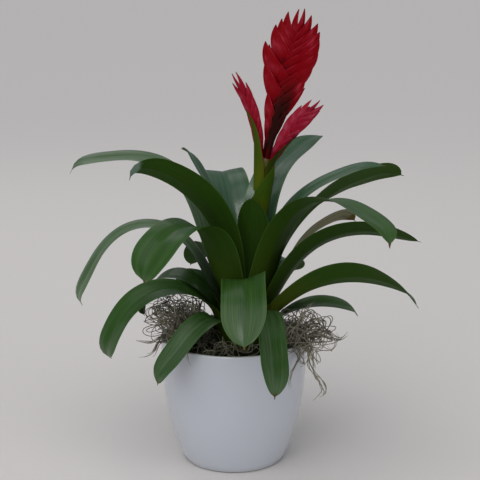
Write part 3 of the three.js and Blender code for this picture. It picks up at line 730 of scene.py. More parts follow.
class Effects:
    """The shader groups of this plant, each built once."""

    def __init__(self) -> None:
        """Build the groups."""
        self.veins = self.long_veins()
        self.mottle = self.soft_mottle()
        self.wear = self.tip_wear()

    @staticmethod
    def long_veins() -> Effect:
        """Build veins that run from foot to tip, and broad streaks beside them.

        Returns:
            The group, with the outputs Veins and Streaks.
        """
        inputs = {"Map": (0.0, 0.0, 0.0), "Count": 26.0, "Seed": 0.0}
        group = Effect("Long Veins", inputs, "Veins", "Streaks")
        along, across, _ = group.parts(group.given("Map"))
        lanes, seed = across * group.given("Count"), group.given("Seed")
        fine = group.noise(group.xyz(along * 1.6, lanes, seed), 1.0, 3.0, 0.6)
        broad = group.noise(group.xyz(along * 3.0, lanes * 0.22, seed + 4.0), 1.0, 2.0)
        return group.close(veins=group.ease(0.38, 0.66, fine), streaks=group.ease(0.3, 0.72, broad))

    @staticmethod
    def soft_mottle() -> Effect:
        """Build soft patches and fine grain in the object's own space.

        Returns:
            The group, with the outputs Patches and Grain.
        """
        inputs = {"Place": (0.0, 0.0, 0.0), "Size": 40.0}
        group = Effect("Soft Mottle", inputs, "Patches", "Grain")
        place, size = group.given("Place"), group.given("Size")
        patches = group.ease(0.3, 0.7, group.noise(place, size, 3.0))
        return group.close(patches=patches, grain=group.noise(place, size * 22.0, 2.0, 0.7))

    @staticmethod
    def tip_wear() -> Effect:
        """Build the dry, ragged end of a blade.

        Returns:
            The group, with the output Dry.
        """
        inputs = {"Map": (0.0, 0.0, 0.0), "Start": 0.97, "Ragged": 0.02}
        group = Effect("Tip Wear", inputs, "Dry")
        along, across, _ = group.parts(group.given("Map"))
        ragged = group.noise(group.xyz(along * 30.0, across * 9.0, 0.0), 1.0, 3.0) - 0.5
        reach, start = along + ragged * group.given("Ragged") * 2.0, group.given("Start")
        return group.close(dry=group.ease(start, start + 0.018, reach))


class Finish(Board):
    """A material under construction, with its Principled shader."""

    def __init__(self, name: str, effects: Effects, **constants: float) -> None:
        """Open the material and set what is the same all over.

        Args:
            name: the material's name.
            effects: the shared shader groups.
            constants: values of the shader's sockets, named in small letters with low lines.
        """
        self.material = bpy.data.materials.new(name)
        self.material.use_nodes = True
        super().__init__(self.material.node_tree)
        self.effects = effects
        self.shader = self.tree.nodes["Principled BSDF"]
        for key, value in constants.items():
            self.entrance(key).default_value = value

    def entrance(self, key: str) -> bpy.types.NodeSocket:
        """Return the shader's socket for a name in small letters with low lines."""
        return self.shader.inputs[key.replace("_", " ").title().replace("Ior", "IOR")]

    def map(self) -> Wire:
        """Return the place along and across the blade."""
        return self.put("ShaderNodeUVMap", uv_map=BLADE_MAP)

    def place(self) -> Wire:
        """Return the place in the object's own space, in metres."""
        return self.put("ShaderNodeTexCoord", out="Object")

    def attribute(self, name: str) -> Wire:
        """Return a number that the mesh carries."""
        return self.put("ShaderNodeAttribute", out="Fac", attribute_name=name)

    def effect(self, group: Effect, out: str, **feeds: Feed) -> Wire:
        """Place a shared group, with its inputs named in small letters."""
        node = self.tree.nodes.new("ShaderNodeGroup")
        node.node_tree = group.tree
        for key, value in feeds.items():
            self.feed(node.inputs[key.title()], value)
        return Wire(self, node.outputs[out])

    def veins(self, count: float, seed: float = 0.0) -> tuple[Wire, Wire]:
        """Return the veins and the broad streaks of a blade."""
        veins = self.effect(self.effects.veins, "Veins", map=self.map(), count=count, seed=seed)
        return veins, veins.other("Streaks")

    def mottle(self, size: float) -> tuple[Wire, Wire]:
        """Return patches and grain."""
        patches = self.effect(self.effects.mottle, "Patches", place=self.place(), size=size)
        return patches, patches.other("Grain")

    def edge(self, across: Wire, start: float, end: float) -> Wire:
        """Return how near a blade's edge a place is, from 0 to 1."""
        return self.ease(start, end, self.math("ABSOLUTE", across * 2.0 - 1.0))

    def tint(self, base: Wire | Shade, over: Wire | Shade, share: Wire) -> Wire:
        """Lay one colour over another."""
        low, high = (pigment(side) if isinstance(side, tuple) else side for side in (base, over))
        return self.put("ShaderNodeMix", {"A": low, "B": high, "Factor": share}, data_type="RGBA")

    def finish(self, relief: Wire, depth: float, strength: float,
               **wires: Wire) -> bpy.types.Material:
        """Wire what changes over the surface to the shader.

        Args:
            relief: the height of the fine relief.
            depth: how deep the relief is, in metres.
            strength: how strongly it shows.
            wires: wires for the shader's sockets, named in small letters with low lines.

        Returns:
            The finished material.
        """
        feeds = {"Height": relief, "Distance": depth, "Strength": strength}
        for key, wire in {**wires, "normal": self.put("ShaderNodeBump", feeds)}.items():
            self.tree.links.new(wire.socket, self.entrance(key))
        return self.material


@dataclass(frozen=True)
class Skin:
    """A finish and the numbers that it is made from."""

    name: str

    def dress(self, effects: Effects) -> bpy.types.Material:
        """Build the material.

        Args:
            effects: the shared shader groups.

        Returns:
            The material.
        """
        raise NotImplementedError


@dataclass(frozen=True)
class LeafSkin(Skin):
    """The skin of a leaf: its two sides, its yellower foot, veins, pale scales partly painted as
    sheen, and a dry tip.
    """

    name: str = "leaf_skin"
    blade: Shade = (40, 78, 16)
    foot: Shade = (70, 86, 8)
    foot_reach: float = 0.34
    stripe: Shade = (78, 116, 48)
    stripes: float = 0.3
    groove: Shade = (22, 52, 10)
    grooves: float = 0.22
    margin: Shade = (78, 116, 48)
    # colour and amount of the pale patches: partly the leaf's pale scales, partly painted sheen of
    # the sky
    scurf: Shade = (104, 130, 104)
    scurfs: float = 0.1
    back: Shade = (42, 72, 12)
    back_stripe: Shade = (62, 92, 34)
    back_stripes: float = 0.35
    tip: Shade = (92, 76, 40)
    dry_from: float = 0.975
    ragged: float = 0.02
    gloss: float = 0.42
    specular: float = 0.08
    wax: float = 0.6
    coat_roughness: float = 0.24
    veins: float = 34.0
    relief: float = 0.00012

    def dress(self, effects: Effects) -> bpy.types.Material:
        """Build the material from the shared groups."""
        look = Finish(self.name, effects, specular_ior_level=self.specular,
                      coat_roughness=self.coat_roughness)
        along, across, _ = look.parts(look.map())
        turned_over = look.attribute(UNDERSIDE)
        veins, streaks = look.veins(self.veins, float(len(self.name)))
        patches, grain = look.mottle(28.0)
        grown = look.ease(0.1, 0.5, along)
        upper = look.tint(self.foot, self.blade, look.ease(0.02, self.foot_reach, along))
        upper = look.tint(upper, self.stripe, veins * self.stripes)
        upper = look.tint(upper, self.groove, look.ease(0.55, 0.0, streaks) * self.grooves)
        # Pale patches along the streaks on the upper side: partly pale scales, partly painted
        # sheen.
        upper = look.tint(upper, self.scurf, (streaks * 0.6 + patches * 0.4) * grown * self.scurfs)
        under = look.tint(self.foot, self.back, look.ease(0.05, 0.5, along))
        under = look.tint(under, self.back_stripe, veins * self.back_stripes)
        colour = look.tint(upper, under, turned_over)
        colour = look.tint(colour, self.margin, look.edge(across, 0.93, 0.995) * 0.6)
        # Dry, ragged tip; where the tip colour is pale blue-grey it is painted sheen instead.
        dry = look.effect(effects.wear, "Dry", map=look.map(), start=self.dry_from,
                          ragged=self.ragged)
        colour = look.tint(colour, self.tip, dry)
        roughness = veins * 0.07 + grain * 0.12 + dry * 0.3 + (self.gloss - 0.08)
        wax = (1.0 - turned_over) * (1.0 - dry) * (0.7 + patches * 0.3) * grown * self.wax
        return look.finish(veins * 0.7 + grain * 0.3, self.relief, 0.6, base_color=colour,
                           roughness=roughness + turned_over * 0.2, coat_weight=wax)


@dataclass(frozen=True)
class BractSkin(Skin):
    """The waxy red skin of the flower head, dark and greenish at its foot with painted shade, and
    with painted highlights as pale streaks and edges.
    """

    name: str = "bract_skin"
    red: Shade = (134, 0, 12)
    # pink-white of the painted highlights on streaks and bract edges
    bright: Shade = (206, 70, 92)
    root: Shade = (96, 0, 12)
    # near-black of the painted shade low in the spike's middle
    low: Shade = (34, 16, 12)
    tip: Shade = (84, 2, 16)
    # strength of the painted highlight streaks
    streak: float = 0.7
    dark_until: float = 0.4
    # the painted shade: up to which share of the height, how wide about the middle, how it leans
    # and how strong
    standing_dark: float = 0.62
    dark_heart: Span = (11.0, 3.0)  # distances from the middle between which it darkens
    heart_leans: float = 12.0
    darkness: float = 0.92
    gloss: float = 0.34
    specular: float = 0.05
    relief: float = 0.00018

    def dress(self, effects: Effects) -> bpy.types.Material:
        """Build the material from the shared groups."""
        look = Finish(self.name, effects, specular_ior_level=self.specular)
        along, across, _ = look.parts(look.map())
        veins, streaks = look.veins(18.0, 3.0)
        patches, grain = look.mottle(70.0)
        standing = look.attribute(STANDING)
        # Painted shade: the spike goes near-black low in its middle, near the axis, away from the
        # bract tips; lit is where this painted shade is absent.
        low = look.ease(self.standing_dark, self.standing_dark * 0.55, standing)
        off_centre = look.attribute(ASIDE) - standing * self.heart_leans
        heart = look.ease(*self.dark_heart, look.math("ABSOLUTE", off_centre))
        to_tip = look.math("MAXIMUM", look.ease(1.0, 0.86, along), look.ease(0.4, 0.3, standing))
        dark = low * heart * to_tip * look.ease(-0.02, 0.12, standing) * self.darkness
        lit = 1.0 - dark
        # Painted highlights: pale streaks along the bracts and pale bract edges stand in for light
        # caught on folds and margins.
        pale = streaks ** 2.0 * (veins * 0.4 + 0.6) * self.streak * look.ease(0.3, 0.7, along)
        pale = pale * (patches * 0.85 + 0.15) * lit
        edge_highlight = look.edge(across, 0.93, 0.99) * look.ease(0.35, 0.7, along) * patches * lit * 0.4
        colour = look.tint(self.root, self.red, look.ease(0.1, self.dark_until, along))
        colour = look.tint(colour, self.low, dark)
        colour = look.tint(colour, self.bright, pale)
        colour = look.tint(colour, self.bright, edge_highlight)
        colour = look.tint(colour, self.tip, look.ease(0.93, 1.0, along) * lit * 0.6)
        roughness = grain * 0.12 + veins * 0.06 + (self.gloss - 0.09)
        return look.finish(veins * 0.5 + streaks, self.relief, 0.6, base_color=colour,
                           roughness=roughness)


@dataclass(frozen=True)
class StemSkin(Skin):
    """The flower stem: yellow-green low down, mid green above, with fine ribs and a red top."""

    name: str = "scape_skin"
    low: Shade = (116, 122, 8)
    high: Shade = (84, 88, 8)
    rib: Shade = (118, 130, 40)
    flush: Shade = (98, 34, 12)
    gloss: float = 0.34
    relief: float = 0.0002

    def dress(self, effects: Effects) -> bpy.types.Material:
        """Build the material from the shared groups."""
        look = Finish(self.name, effects, specular_ior_level=0.2)
        along = look.parts(look.map())[0]
        veins, grain = look.veins(30.0)[0], look.mottle(50.0)[1]
        colour = look.tint(self.low, self.high, look.ease(0.35, 0.9, along))
        colour = look.tint(colour, self.rib, veins * 0.25)
        colour = look.tint(colour, self.flush, look.ease(0.95, 0.995, along) * 0.8)
        return look.finish(veins, self.relief, 0.6, base_color=colour,
                           roughness=grain * 0.2 + self.gloss)


@dataclass(frozen=True)
class PotGlaze(Skin):
    """Glossy white glaze, faintly wavy, with a painted highlight whitening the lip, and bare on the
    foot ring.
    """

    name: str = "white_glaze"
    body: Shade = (205, 210, 220)
    cloud: Shade = (204, 209, 218)
    # the painted highlight along the top of the rim
    lip: Shade = (232, 233, 234)
    bare: Shade = (150, 148, 144)
    lip_from: Span = (123.6, 124.2)
    bare_until: Span = (2.2, 0.4)
    relief: float = 0.0006

    def dress(self, effects: Effects) -> bpy.types.Material:
        """Build the material from the shared groups."""
        look = Finish(self.name, effects, specular_ior_level=0.5, coat_weight=0.5,
                      coat_roughness=0.06)
        place = look.place()
        patches, grain = look.mottle(14.0)
        height = look.parts(place)[2]
        lip, bare = (look.ease(start * MILLIMETRE, end * MILLIMETRE, height)
                     for start, end in (self.lip_from, self.bare_until))
        colour = look.tint(self.body, self.cloud, patches * 0.35)
        # painted highlight whitens the top of the rim
        colour = look.tint(colour, self.lip, lip * 0.7)
        colour = look.tint(colour, self.bare, bare * 0.6)
        wave = look.noise(place * (1.0, 1.0, 4.0), 9.0, 1.0)
        return look.finish(wave * 0.8 + grain * 0.03, self.relief, 0.5, base_color=colour,
                           roughness=patches * 0.05 + grain * 0.04 + 0.12)


@dataclass(frozen=True)
class RoughSkin(Skin):
    """A dull, mottled surface of two tones: soil, moss, plastic or a clump of old sheaths."""

    dark: Shade
    light: Shade
    size: float = 60.0
    roughness: float = 0.9
    depth: float = 0.0004
    specular: float = 0.3

    def dress(self, effects: Effects) -> bpy.types.Material:
        """Build the material from the shared groups."""
        look = Finish(self.name, effects, specular_ior_level=self.specular)
        patches, grain = look.mottle(self.size)
        colour = look.tint(self.dark, self.light, patches * 0.7 + grain * 0.3)
        return look.finish(grain, self.depth, 0.8, base_color=colour,
                           roughness=grain * 0.15 + (self.roughness - 0.08))


class Finishes:
    """All the finishes of the object, each built when it is first asked for."""

    def __init__(self) -> None:
        """Build the shared groups."""
        self.effects = Effects()
        self.made: dict[str, bpy.types.Material] = {}

    def of(self, skin: Skin) -> bpy.types.Material:
        """Return the material of a finish."""
        if skin.name not in self.made:
            self.made[skin.name] = skin.dress(self.effects)
        return self.made[skin.name]


class LeafTone(Enum):
    """How a leaf has greened, by its age and the side of it that is seen, with painted sheen on
    some tones.
    """

    DEEP = LeafSkin("leaf_deep")
    STRIPED = LeafSkin("leaf_striped", blade=(32, 68, 10), stripes=0.5, scurfs=0.08, veins=44.0)
    FRESH = LeafSkin("leaf_fresh", blade=(52, 88, 30), foot=(66, 84, 10), scurfs=0.2)
    OLIVE_FOOT = LeafSkin("leaf_olive_foot", foot=(84, 92, 10), foot_reach=0.55)
    # Blue-grey green, with pale patches of painted sky sheen on the upper sides of the back leaves.
    DUSKY = LeafSkin("leaf_dusky", blade=(48, 82, 50), foot=(44, 72, 40), scurfs=0.35,
                     scurf=(98, 128, 120), back=(44, 74, 24))
    # Pale blade with heavy pale patches that paint the sky's sheen.
    PALE = LeafSkin("leaf_pale", blade=(76, 102, 66), scurfs=0.5, scurf=(122, 142, 118),
                    stripe=(104, 132, 90), stripes=0.35, back=(62, 88, 44))
    BROWNED = LeafSkin("leaf_browned", blade=(58, 84, 34), back=(86, 88, 60),
                       back_stripe=(152, 150, 124), back_stripes=0.7, dry_from=0.93)
    # The pale blue-grey end is painted sheen of the sky on the curled tip, laid with the dry-tip
    # mask.
    TURNED = LeafSkin("leaf_turned", tip=(126, 152, 134), dry_from=0.925)
    # Pale patches of painted sheen toward the end, and a dry bronze tip.
    BRONZE_TIP = LeafSkin("leaf_bronze_tip", scurfs=0.34, scurf=(122, 144, 118), dry_from=0.962,
                          tip=(84, 74, 24))


# ---------------------------------------------------------------- meshes made by hand


def lathe(name: str, profile: Sequence[Span], sides: int,
          frame: Matrix | None = None) -> bpy.types.Mesh:
    """Turn a profile about the upright axis, closing it where it meets the axis.

    Args:
        name: the mesh's name.
        profile: radius and height, from the foot's centre over the outside to the end.
        sides: the number of faces around.
        frame: where the body stands, in millimetres.

    Returns:
        The mesh, in metres, with faces outwards and a map of its height and turn.
    """
    stand = frame or Matrix.Identity(4)
    verts: list[Vector] = []
    rings: list[list[int]] = []
    for radius, height in profile:
        turns = sides if radius else 1
        rings.append(list(range(len(verts), len(verts) + turns)))
        for turn in range(turns):
            angle = math.tau * turn / sides
            spot = Vector((radius * math.cos(angle), radius * math.sin(angle), height))
            verts.append(stand @ spot)
    faces: list[tuple[int, ...]] = []
    for low, high in zip(rings, rings[1:]):
        for turn in range(sides):
            here, there = turn, turn + 1
            corners = (low[here % len(low)], low[there % len(low)],
                       high[there % len(high)], high[here % len(high)])
            faces.append(tuple(dict.fromkeys(corners)))
    mesh = bpy.data.meshes.new(name)
    mesh.from_pydata([vert * MILLIMETRE for vert in verts], [], faces)
    mesh.shade_smooth()
    blade = mesh.uv_layers.new(name=BLADE_MAP)
    heights = [height for _, height in profile]
    lowest, span = min(heights), max(heights) - min(heights)
    back = stand.inverted()
    for loop in mesh.loops:
        spot = back @ verts[loop.vertex_index]
        turned = math.atan2(spot.y, spot.x) / math.tau + 0.5
        blade.data[loop.index].uv = ((spot.z - lowest) / span, turned)
    mesh.update()
    return mesh


def mount(piece: bpy.types.Object, slot: str, *nodes: str) -> bpy.types.Object:
    """Let a piece ride on the plant's body in place of the CAD nodes it stands for, which it hides.
    """
    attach(piece, BODY)
    if nodes:
        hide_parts(*nodes)
    LOG.info("%s: %d faces", piece.name, len(piece.data.polygons))
    return piece


def set_out(name: str, mesh: bpy.types.Mesh, material: bpy.types.Material) -> bpy.types.Object:
    """Place a finished mesh in the scene as an object at the origin."""
    mesh.materials.append(material)
    piece = bpy.data.objects.new(name, mesh)
    bpy.context.scene.collection.objects.link(piece)
    return piece


def repaint(piece: bpy.types.Object, material: bpy.types.Material) -> None:
    """Dress a CAD piece that keeps its own mesh."""
    piece.data.materials.clear()
    piece.data.materials.append(material)


# ---------------------------------------------------------------- sub-assemblies


@dataclass
class Pots:
    """The glazed pot and the plastic growing pot inside it."""

    wall: float = 3.5
    foot_ring: tuple[Span, ...] = (
        (0.0, 0.9), (44.5, 0.9), (45.6, 0.0), (47.6, 0.0), (48.6, 0.25))
    outside: tuple[Span, ...] = (
        (50.3, 1.2), (52.9, 7.0), (55.5, 13.0), (58.3, 21.0), (61.0, 30.0), (63.4, 39.0),
        (65.6, 48.0), (67.6, 60.0), (69.3, 72.0), (70.5, 85.0), (71.4, 98.0), (71.8, 111.0),
        (72.0, 123.6))
    lip: tuple[Span, ...] = (
        (72.0, 124.25), (71.65, 124.75), (71.0, 125.0), (69.5, 125.0), (68.85, 124.7),
        (68.5, 124.1))
    floor: tuple[Span, ...] = ((48.6, 10.0), (45.7, 6.3), (43.0, 6.0), (0.0, 6.0))
    wall_from: int = 4  # the row of the outside where the even wall starts
    sides: int = 144
    glaze: PotGlaze = PotGlaze()
    plastic: RoughSkin = RoughSkin("black_plastic", (20, 21, 21), (34, 34, 33), 80.0, 0.6, 0.0001)

    def profile(self) -> list[Span]:
        """Return the pot's section, from under its foot over the rim to the middle of its floor."""
        inside = [(radius - self.wall, height)
                  for radius, height in reversed(self.outside[self.wall_from:-1])]
        return [*self.foot_ring, *self.outside, *self.lip, *inside, *self.floor]

    def build(self, finishes: Finishes, nodes: dict[str, bpy.types.Object]) -> bpy.types.Object:
        """Make the glazed pot and dress the growing pot.

        Args:
            finishes: the materials.
            nodes: the CAD nodes by name.

        Returns:
            The glazed pot.
        """
        turned = lathe("glazed_pot", self.profile(), self.sides)
        pot = set_out("glazed_pot", turned, finishes.of(self.glaze))
        repaint(nodes["nursery_pot"], finishes.of(self.plastic))
        return mount(pot, "pot_glaze", "pot")


@dataclass
class SoilBed:
    """The potting soil, a little domed, with crumbs on top, and the leaf bases' common foot."""

    top: float = 116.5
    fall: float = 1.5
    floor: float = 8.0
    floor_radius: float = 44.2
    edge_radius: float = 62.3
    edge_drop: float = 0.6
    inset: float = 0.4
    crumbs_below: float = 0.3
    rings: int = 26
    sides: int = 112
    soil: RoughSkin = RoughSkin(
        "potting_soil", (22, 20, 16), (58, 50, 40), 130.0, 0.95, 0.0008, 0.2)
    stump: RoughSkin = RoughSkin("old_sheaths", (58, 62, 26), (96, 92, 44), 60.0, 0.7, 0.0004)

    def profile(self) -> list[Span]:
        """Return the bed's section."""
        bed = [(0.0, self.floor), (self.floor_radius, self.floor),
               (self.edge_radius, self.top - self.fall - self.edge_drop)]
        for ring in range(self.rings):
            radius = self.edge_radius * (1 - ring / self.rings)
            dome = self.fall * (radius / self.edge_radius) ** 2
            bed.append((radius - self.inset, self.top - dome))
        return [*bed, (0.0, self.top)]

    def build(self, finishes: Finishes, nodes: dict[str, bpy.types.Object]) -> bpy.types.Object:
        """Make the bed and dress the stump.

        Args:
            finishes: the materials.
            nodes: the CAD nodes by name.

        Returns:
            The bed.
        """
        seedling = lathe("soil_seedling", self.profile(), self.sides)
        seedling.transform(Matrix.Scale(1 / MILLIMETRE, 4))
        sizes = {"Top": self.top - self.fall - self.crumbs_below}
        bed = CrumbTree().grow("soil_bed", seedling, sizes, finishes.of(self.soil))
        repaint(nodes["stem_base"], finishes.of(self.stump))
        return mount(bed, "potting_soil", "soil")


@dataclass(frozen=True)
class PlantFrame:
    """Where the plant stands: its crown, and how far its axis leans to the right."""

    crown: Point = (7.0, 0.0, 122.0)
    lean: float = 7.5

    def matrix(self) -> Matrix:
        """Return the frame as a matrix, in millimetres."""
        lean = Matrix.Rotation(math.radians(self.lean), 4, "Y")
        return Matrix.Translation(self.crown) @ lean

    def inputs(self) -> dict[str, object]:
        """Return the frame as inputs of a growth tree."""
        crown = tuple(value * MILLIMETRE for value in self.crown)
        return {"Crown": crown, "Lean": math.radians(self.lean)}


class Row:
    """A row of numbers, named like the inputs of a growth tree."""

    def inputs(self) -> dict[str, float]:
        """Return the row's numbers as inputs of a growth tree."""
        return {key.replace("_", " ").title(): value for key, value in vars(self).items()
                if isinstance(value, (int, float))}


@dataclass(frozen=True)
class Leaf(Row):
    """One leaf or bract: where it leaves the crown, its size, how it arches and its tone."""

    azimuth: float
    sweep: float
    ring: float
    length: float
    width: float
    rise: float
    fall: float
    bend_from: float
    bend_to: float
    roll: float
    hook: float
    tone: LeafTone = LeafTone.DEEP
    curl: float = 0.0
    shoulder: float = 0.76
    round_off: float = 0.7
    fold: float = 4.0


@dataclass
class Rosette:
    """The strap leaves, from the innermost to the outermost."""

    frame: PlantFrame
    ledge: float = 18.0
    ledge_slope: float = 0.9
    sheath_pitch: float = 88.0
    sheath_spread: float = 1.1
    inner_ring: float = 7.0
    ripple_step: float = 7.3
    leaves: tuple[Leaf, ...] = (
        Leaf(250, -5, 7.2, 135, 33, 90, 73, 0.35, 1, 0, -5, LeafTone.DEEP),
        Leaf(82, -25, 7.15, 270, 35, 90, 19, 0.3, 0.7, -5, -20, LeafTone.DUSKY),
        Leaf(142, -20, 9.2, 215, 27, 77, 33, 0.2, 0.7, 30, -35, LeafTone.DUSKY, 0, 0.8, 0.8, 9),
        Leaf(208, -5, 10.8, 230, 39, 78, 3, 0.15, 1.1, 35, -35, LeafTone.TURNED, -50, 0.84, 0.55),
        Leaf(311.3, -5.6, 12.25, 280, 36, 81, -10, 0.21, 0.87, -2.7, -10.3,
             LeafTone.FRESH, -60, 0.82, 0.52),
        Leaf(115, -20, 12.35, 260, 40.5, 67, -34, 0.25, 1, -10, -10, LeafTone.DUSKY),
        Leaf(219.3, 12, 13.95, 219, 50, 65, -48.8, 0.34, 0.9, 4.5, -24.5,
             LeafTone.DEEP, -30, 0.83, 0.56),
        Leaf(17.5, -30, 14, 233, 31, 90, 31, 0.25, 0.85, 10, -25, LeafTone.DUSKY, 0, 0.8, 0.7, 8),
        Leaf(148, 30, 15.3, 280, 34, 60, -13, 0.4, 0.85, -10, -10,
             LeafTone.PALE, -45, 0.88, 0.55, 9),
        Leaf(19, 10, 15.5, 250, 40, 85, 14, 0.1, 0.95, -45, -25, LeafTone.FRESH, 0, 0.8, 0.75, 6),
        Leaf(262, 15, 15.9, 200, 42, 71, -45, 0, 1, 25, -5, LeafTone.STRIPED, 0, 0.8, 0.62, 3),
        Leaf(85, 0, 17.5, 190, 34, 77, -7, 0.1, 0.9, 0, 10, LeafTone.DUSKY),
        Leaf(333, 20, 17.5, 219, 38, 72, -14, 0.2, 1.05, -30, 5, LeafTone.FRESH),
        Leaf(166, 30, 17.7, 253, 31.5, 54, -68, 0.25, 0.85, -5, -5,
             LeafTone.PALE, -50, 0.88, 0.5, 10),
        Leaf(121, -10, 19, 173, 35, 77, -44, 0.1, 0.9, 0, 0, LeafTone.DUSKY),
        Leaf(26, 5, 19.7, 175, 31, 86, 4, 0.05, 1.2, -45, -45, LeafTone.BROWNED),
        Leaf(324, -25, 20.5, 236, 40, 55, -3, 0, 1, -35, -25,
             LeafTone.OLIVE_FOOT, 0, 0.72, 0.85, 6),
        Leaf(168, -15, 20.5, 145, 32, 45, -85, 0.2, 1, -10, -10, LeafTone.DEEP, -30, 0.84, 0.6),
        Leaf(61, 7, 21, 148, 34, 79, -32, 0.15, 0.9, 0, 0, LeafTone.DUSKY),
        Leaf(195, 0, 22, 180, 37, 55, -74, 0, 0.93, -15, -10, LeafTone.DEEP, -55, 0.88, 0.5),
        Leaf(96, -5, 22.5, 160, 34, 77, -48, 0.1, 0.9, 0, 0, LeafTone.DUSKY),
        Leaf(347, 30, 23, 120, 27, 58, -29, 0, 1.15, 10, -30, LeafTone.FRESH),
        Leaf(281, 5, 23.5, 170, 35, 70, -47, 0.05, 0.75, -25, -25,
             LeafTone.BRONZE_TIP, 0, 0.8, 0.65),
        Leaf(130, -10, 24.5, 130, 32, 77, -51, 0.1, 0.9, 0, 0, LeafTone.DUSKY),
        Leaf(232, -15, 25, 130, 34, 50, -48, 0, 0.65, 5, -40, LeafTone.BRONZE_TIP, 0, 0.76, 0.65),
    )

    def build(self, tree: BladeTree, finishes: Finishes) -> list[bpy.types.Object]:
        """Grow every leaf.

        Args:
            tree: the blade tree.
            finishes: the materials.

        Returns:
            The leaves.
        """
        grown = []
        for number, leaf in enumerate(self.leaves, start=1):
            node = f"leaf_{number:02d}"
            sizes = {
                **leaf.inputs(),
                **self.frame.inputs(),
                "Foot": self.ledge - self.ledge_slope * leaf.ring,
                "Start": self.sheath_pitch - self.sheath_spread * (leaf.ring - self.inner_ring),
                "Ripple Place": number * self.ripple_step,
            }
            seedling = bpy.data.meshes.new(node + "_seedling")
            piece = tree.grow(f"strap_{node}", seedling, sizes, finishes.of(leaf.tone.value))
            grown.append(mount(piece, "leaf_green", node))
        return grown


@dataclass(frozen=True)
class StemBract(Row):
    """A green bract on the flower stem: its leaf, and how it clasps the stem."""

    node: str
    leaf: Leaf
    foot: float
    start: float
    opens_from: float
    opens_to: float
    channel: float
    foot_width: float
    shoulder: float
    taper: float
    skin: LeafSkin
    takeover_from: float = 4.0
    takeover_to: float = 12.0
    round_off: float = 1.0
    point: float = 0.999
    fold: float = 0.0
    widest_wrap: float = 1.9
    ripple: float = 0.3


@dataclass
class FlowerStem:
    """The flower stem and the green bracts that clasp it."""

    frame: PlantFrame
    sides: int = 40
    profile: tuple[Span, ...] = (
        (0.0, 11.6), (5.7, 11.6), (5.9, 12.0), (6.1, 60.0), (6.3, 110.0), (6.4, 150.0),
        (6.8, 158.0), (7.2, 165.0), (7.2, 170.0), (6.6, 174.0), (5.2, 178.0), (3.2, 181.0),
        (0.0, 182.2))
    skin: StemSkin = StemSkin()
    first_ripple: float = 90.0
    bracts: tuple[StemBract, ...] = (
        StemBract("scape_bract", Leaf(300, 16, 7.7, 54, 28, 83, 80, 0.4, 1, 0, 0),
                  122, 84, 40, 90, 0.9, 0.95, 0.3, 1.5,
                  LeafSkin("bract_leafy", blade=(56, 84, 8), foot=(96, 104, 8), back=(56, 84, 8),
                           back_stripe=(80, 104, 24), tip=(96, 50, 30), dry_from=0.96)),
        StemBract("primary_bract_left", Leaf(178, 0, 7.8, 84, 31, 83, 57, 0.4, 1, 0, 0),
                  148, 87, 30, 70, 1.5, 0.95, 0.3, 1.5,
                  LeafSkin("bract_olive", blade=(62, 82, 10), foot=(88, 102, 10),
                           back=(62, 82, 10), back_stripe=(84, 100, 24), margin=(124, 34, 22),
                           tip=(110, 40, 36), dry_from=0.9)),
        StemBract("primary_bract_right", Leaf(352, 0, 7.5, 66, 27, 88, 56, 0.3, 0.7, 0, 0),
                  146, 88, 26, 60, 1.3, 1, 0.25, 1.1,
                  LeafSkin("bract_shaded", blade=(44, 60, 6), foot=(84, 92, 8), foot_reach=0.25,
                           back=(44, 60, 6), back_stripe=(64, 74, 16), margin=(24, 20, 10),
                           tip=(50, 14, 20), dry_from=0.9)),
    )

    def build(self, tree: BladeTree, finishes: Finishes) -> list[bpy.types.Object]:
        """Make the stem and grow its bracts.

        Args:
            tree: the blade tree.
            finishes: the materials.

        Returns:
            The pieces.
        """
        turned = lathe("flower_stem", self.profile, self.sides, self.frame.matrix())
        stem = set_out("flower_stem", turned, finishes.of(self.skin))
        made = [mount(stem, "scape_green", "scape")]
        for number, bract in enumerate(self.bracts):
            sizes = {**bract.leaf.inputs(), **self.frame.inputs(), **bract.inputs(),
                     "Ripple Place": self.first_ripple + number}
            seedling = bpy.data.meshes.new(bract.node + "_seedling")
            piece = tree.grow(f"clasping_{bract.node}", seedling, sizes, finishes.of(bract.skin))
            made.append(mount(piece, "bract_green", bract.node))
        return made


@dataclass(frozen=True)
class Spike(Row):
    """One flattened spike: its size, its tilt, and tip height, side and bulge of each bract."""

    node: str
    slot: str
    across: float
    tilt: float
    length: float
    bow: float
    bract_length: float
    half_depth: float
    stalk: float
    core_width: float
    core_start: float
    free_tip: float
    skin: BractSkin
    bracts: tuple[Point, ...]

    def seedling(self) -> bpy.types.Mesh:
        """Return one point for each bract, with its numbers as attributes."""
        mesh = bpy.data.meshes.new(self.node + "_seedling")
        mesh.from_pydata([(0.0, 0.0, 0.0)] * len(self.bracts), [], [])
        for column, name in enumerate(("tip", "side", "bulge")):
            layer = mesh.attributes.new(name, "FLOAT", "POINT")
            layer.data.foreach_set("value", [float(bract[column]) for bract in self.bracts])
        return mesh


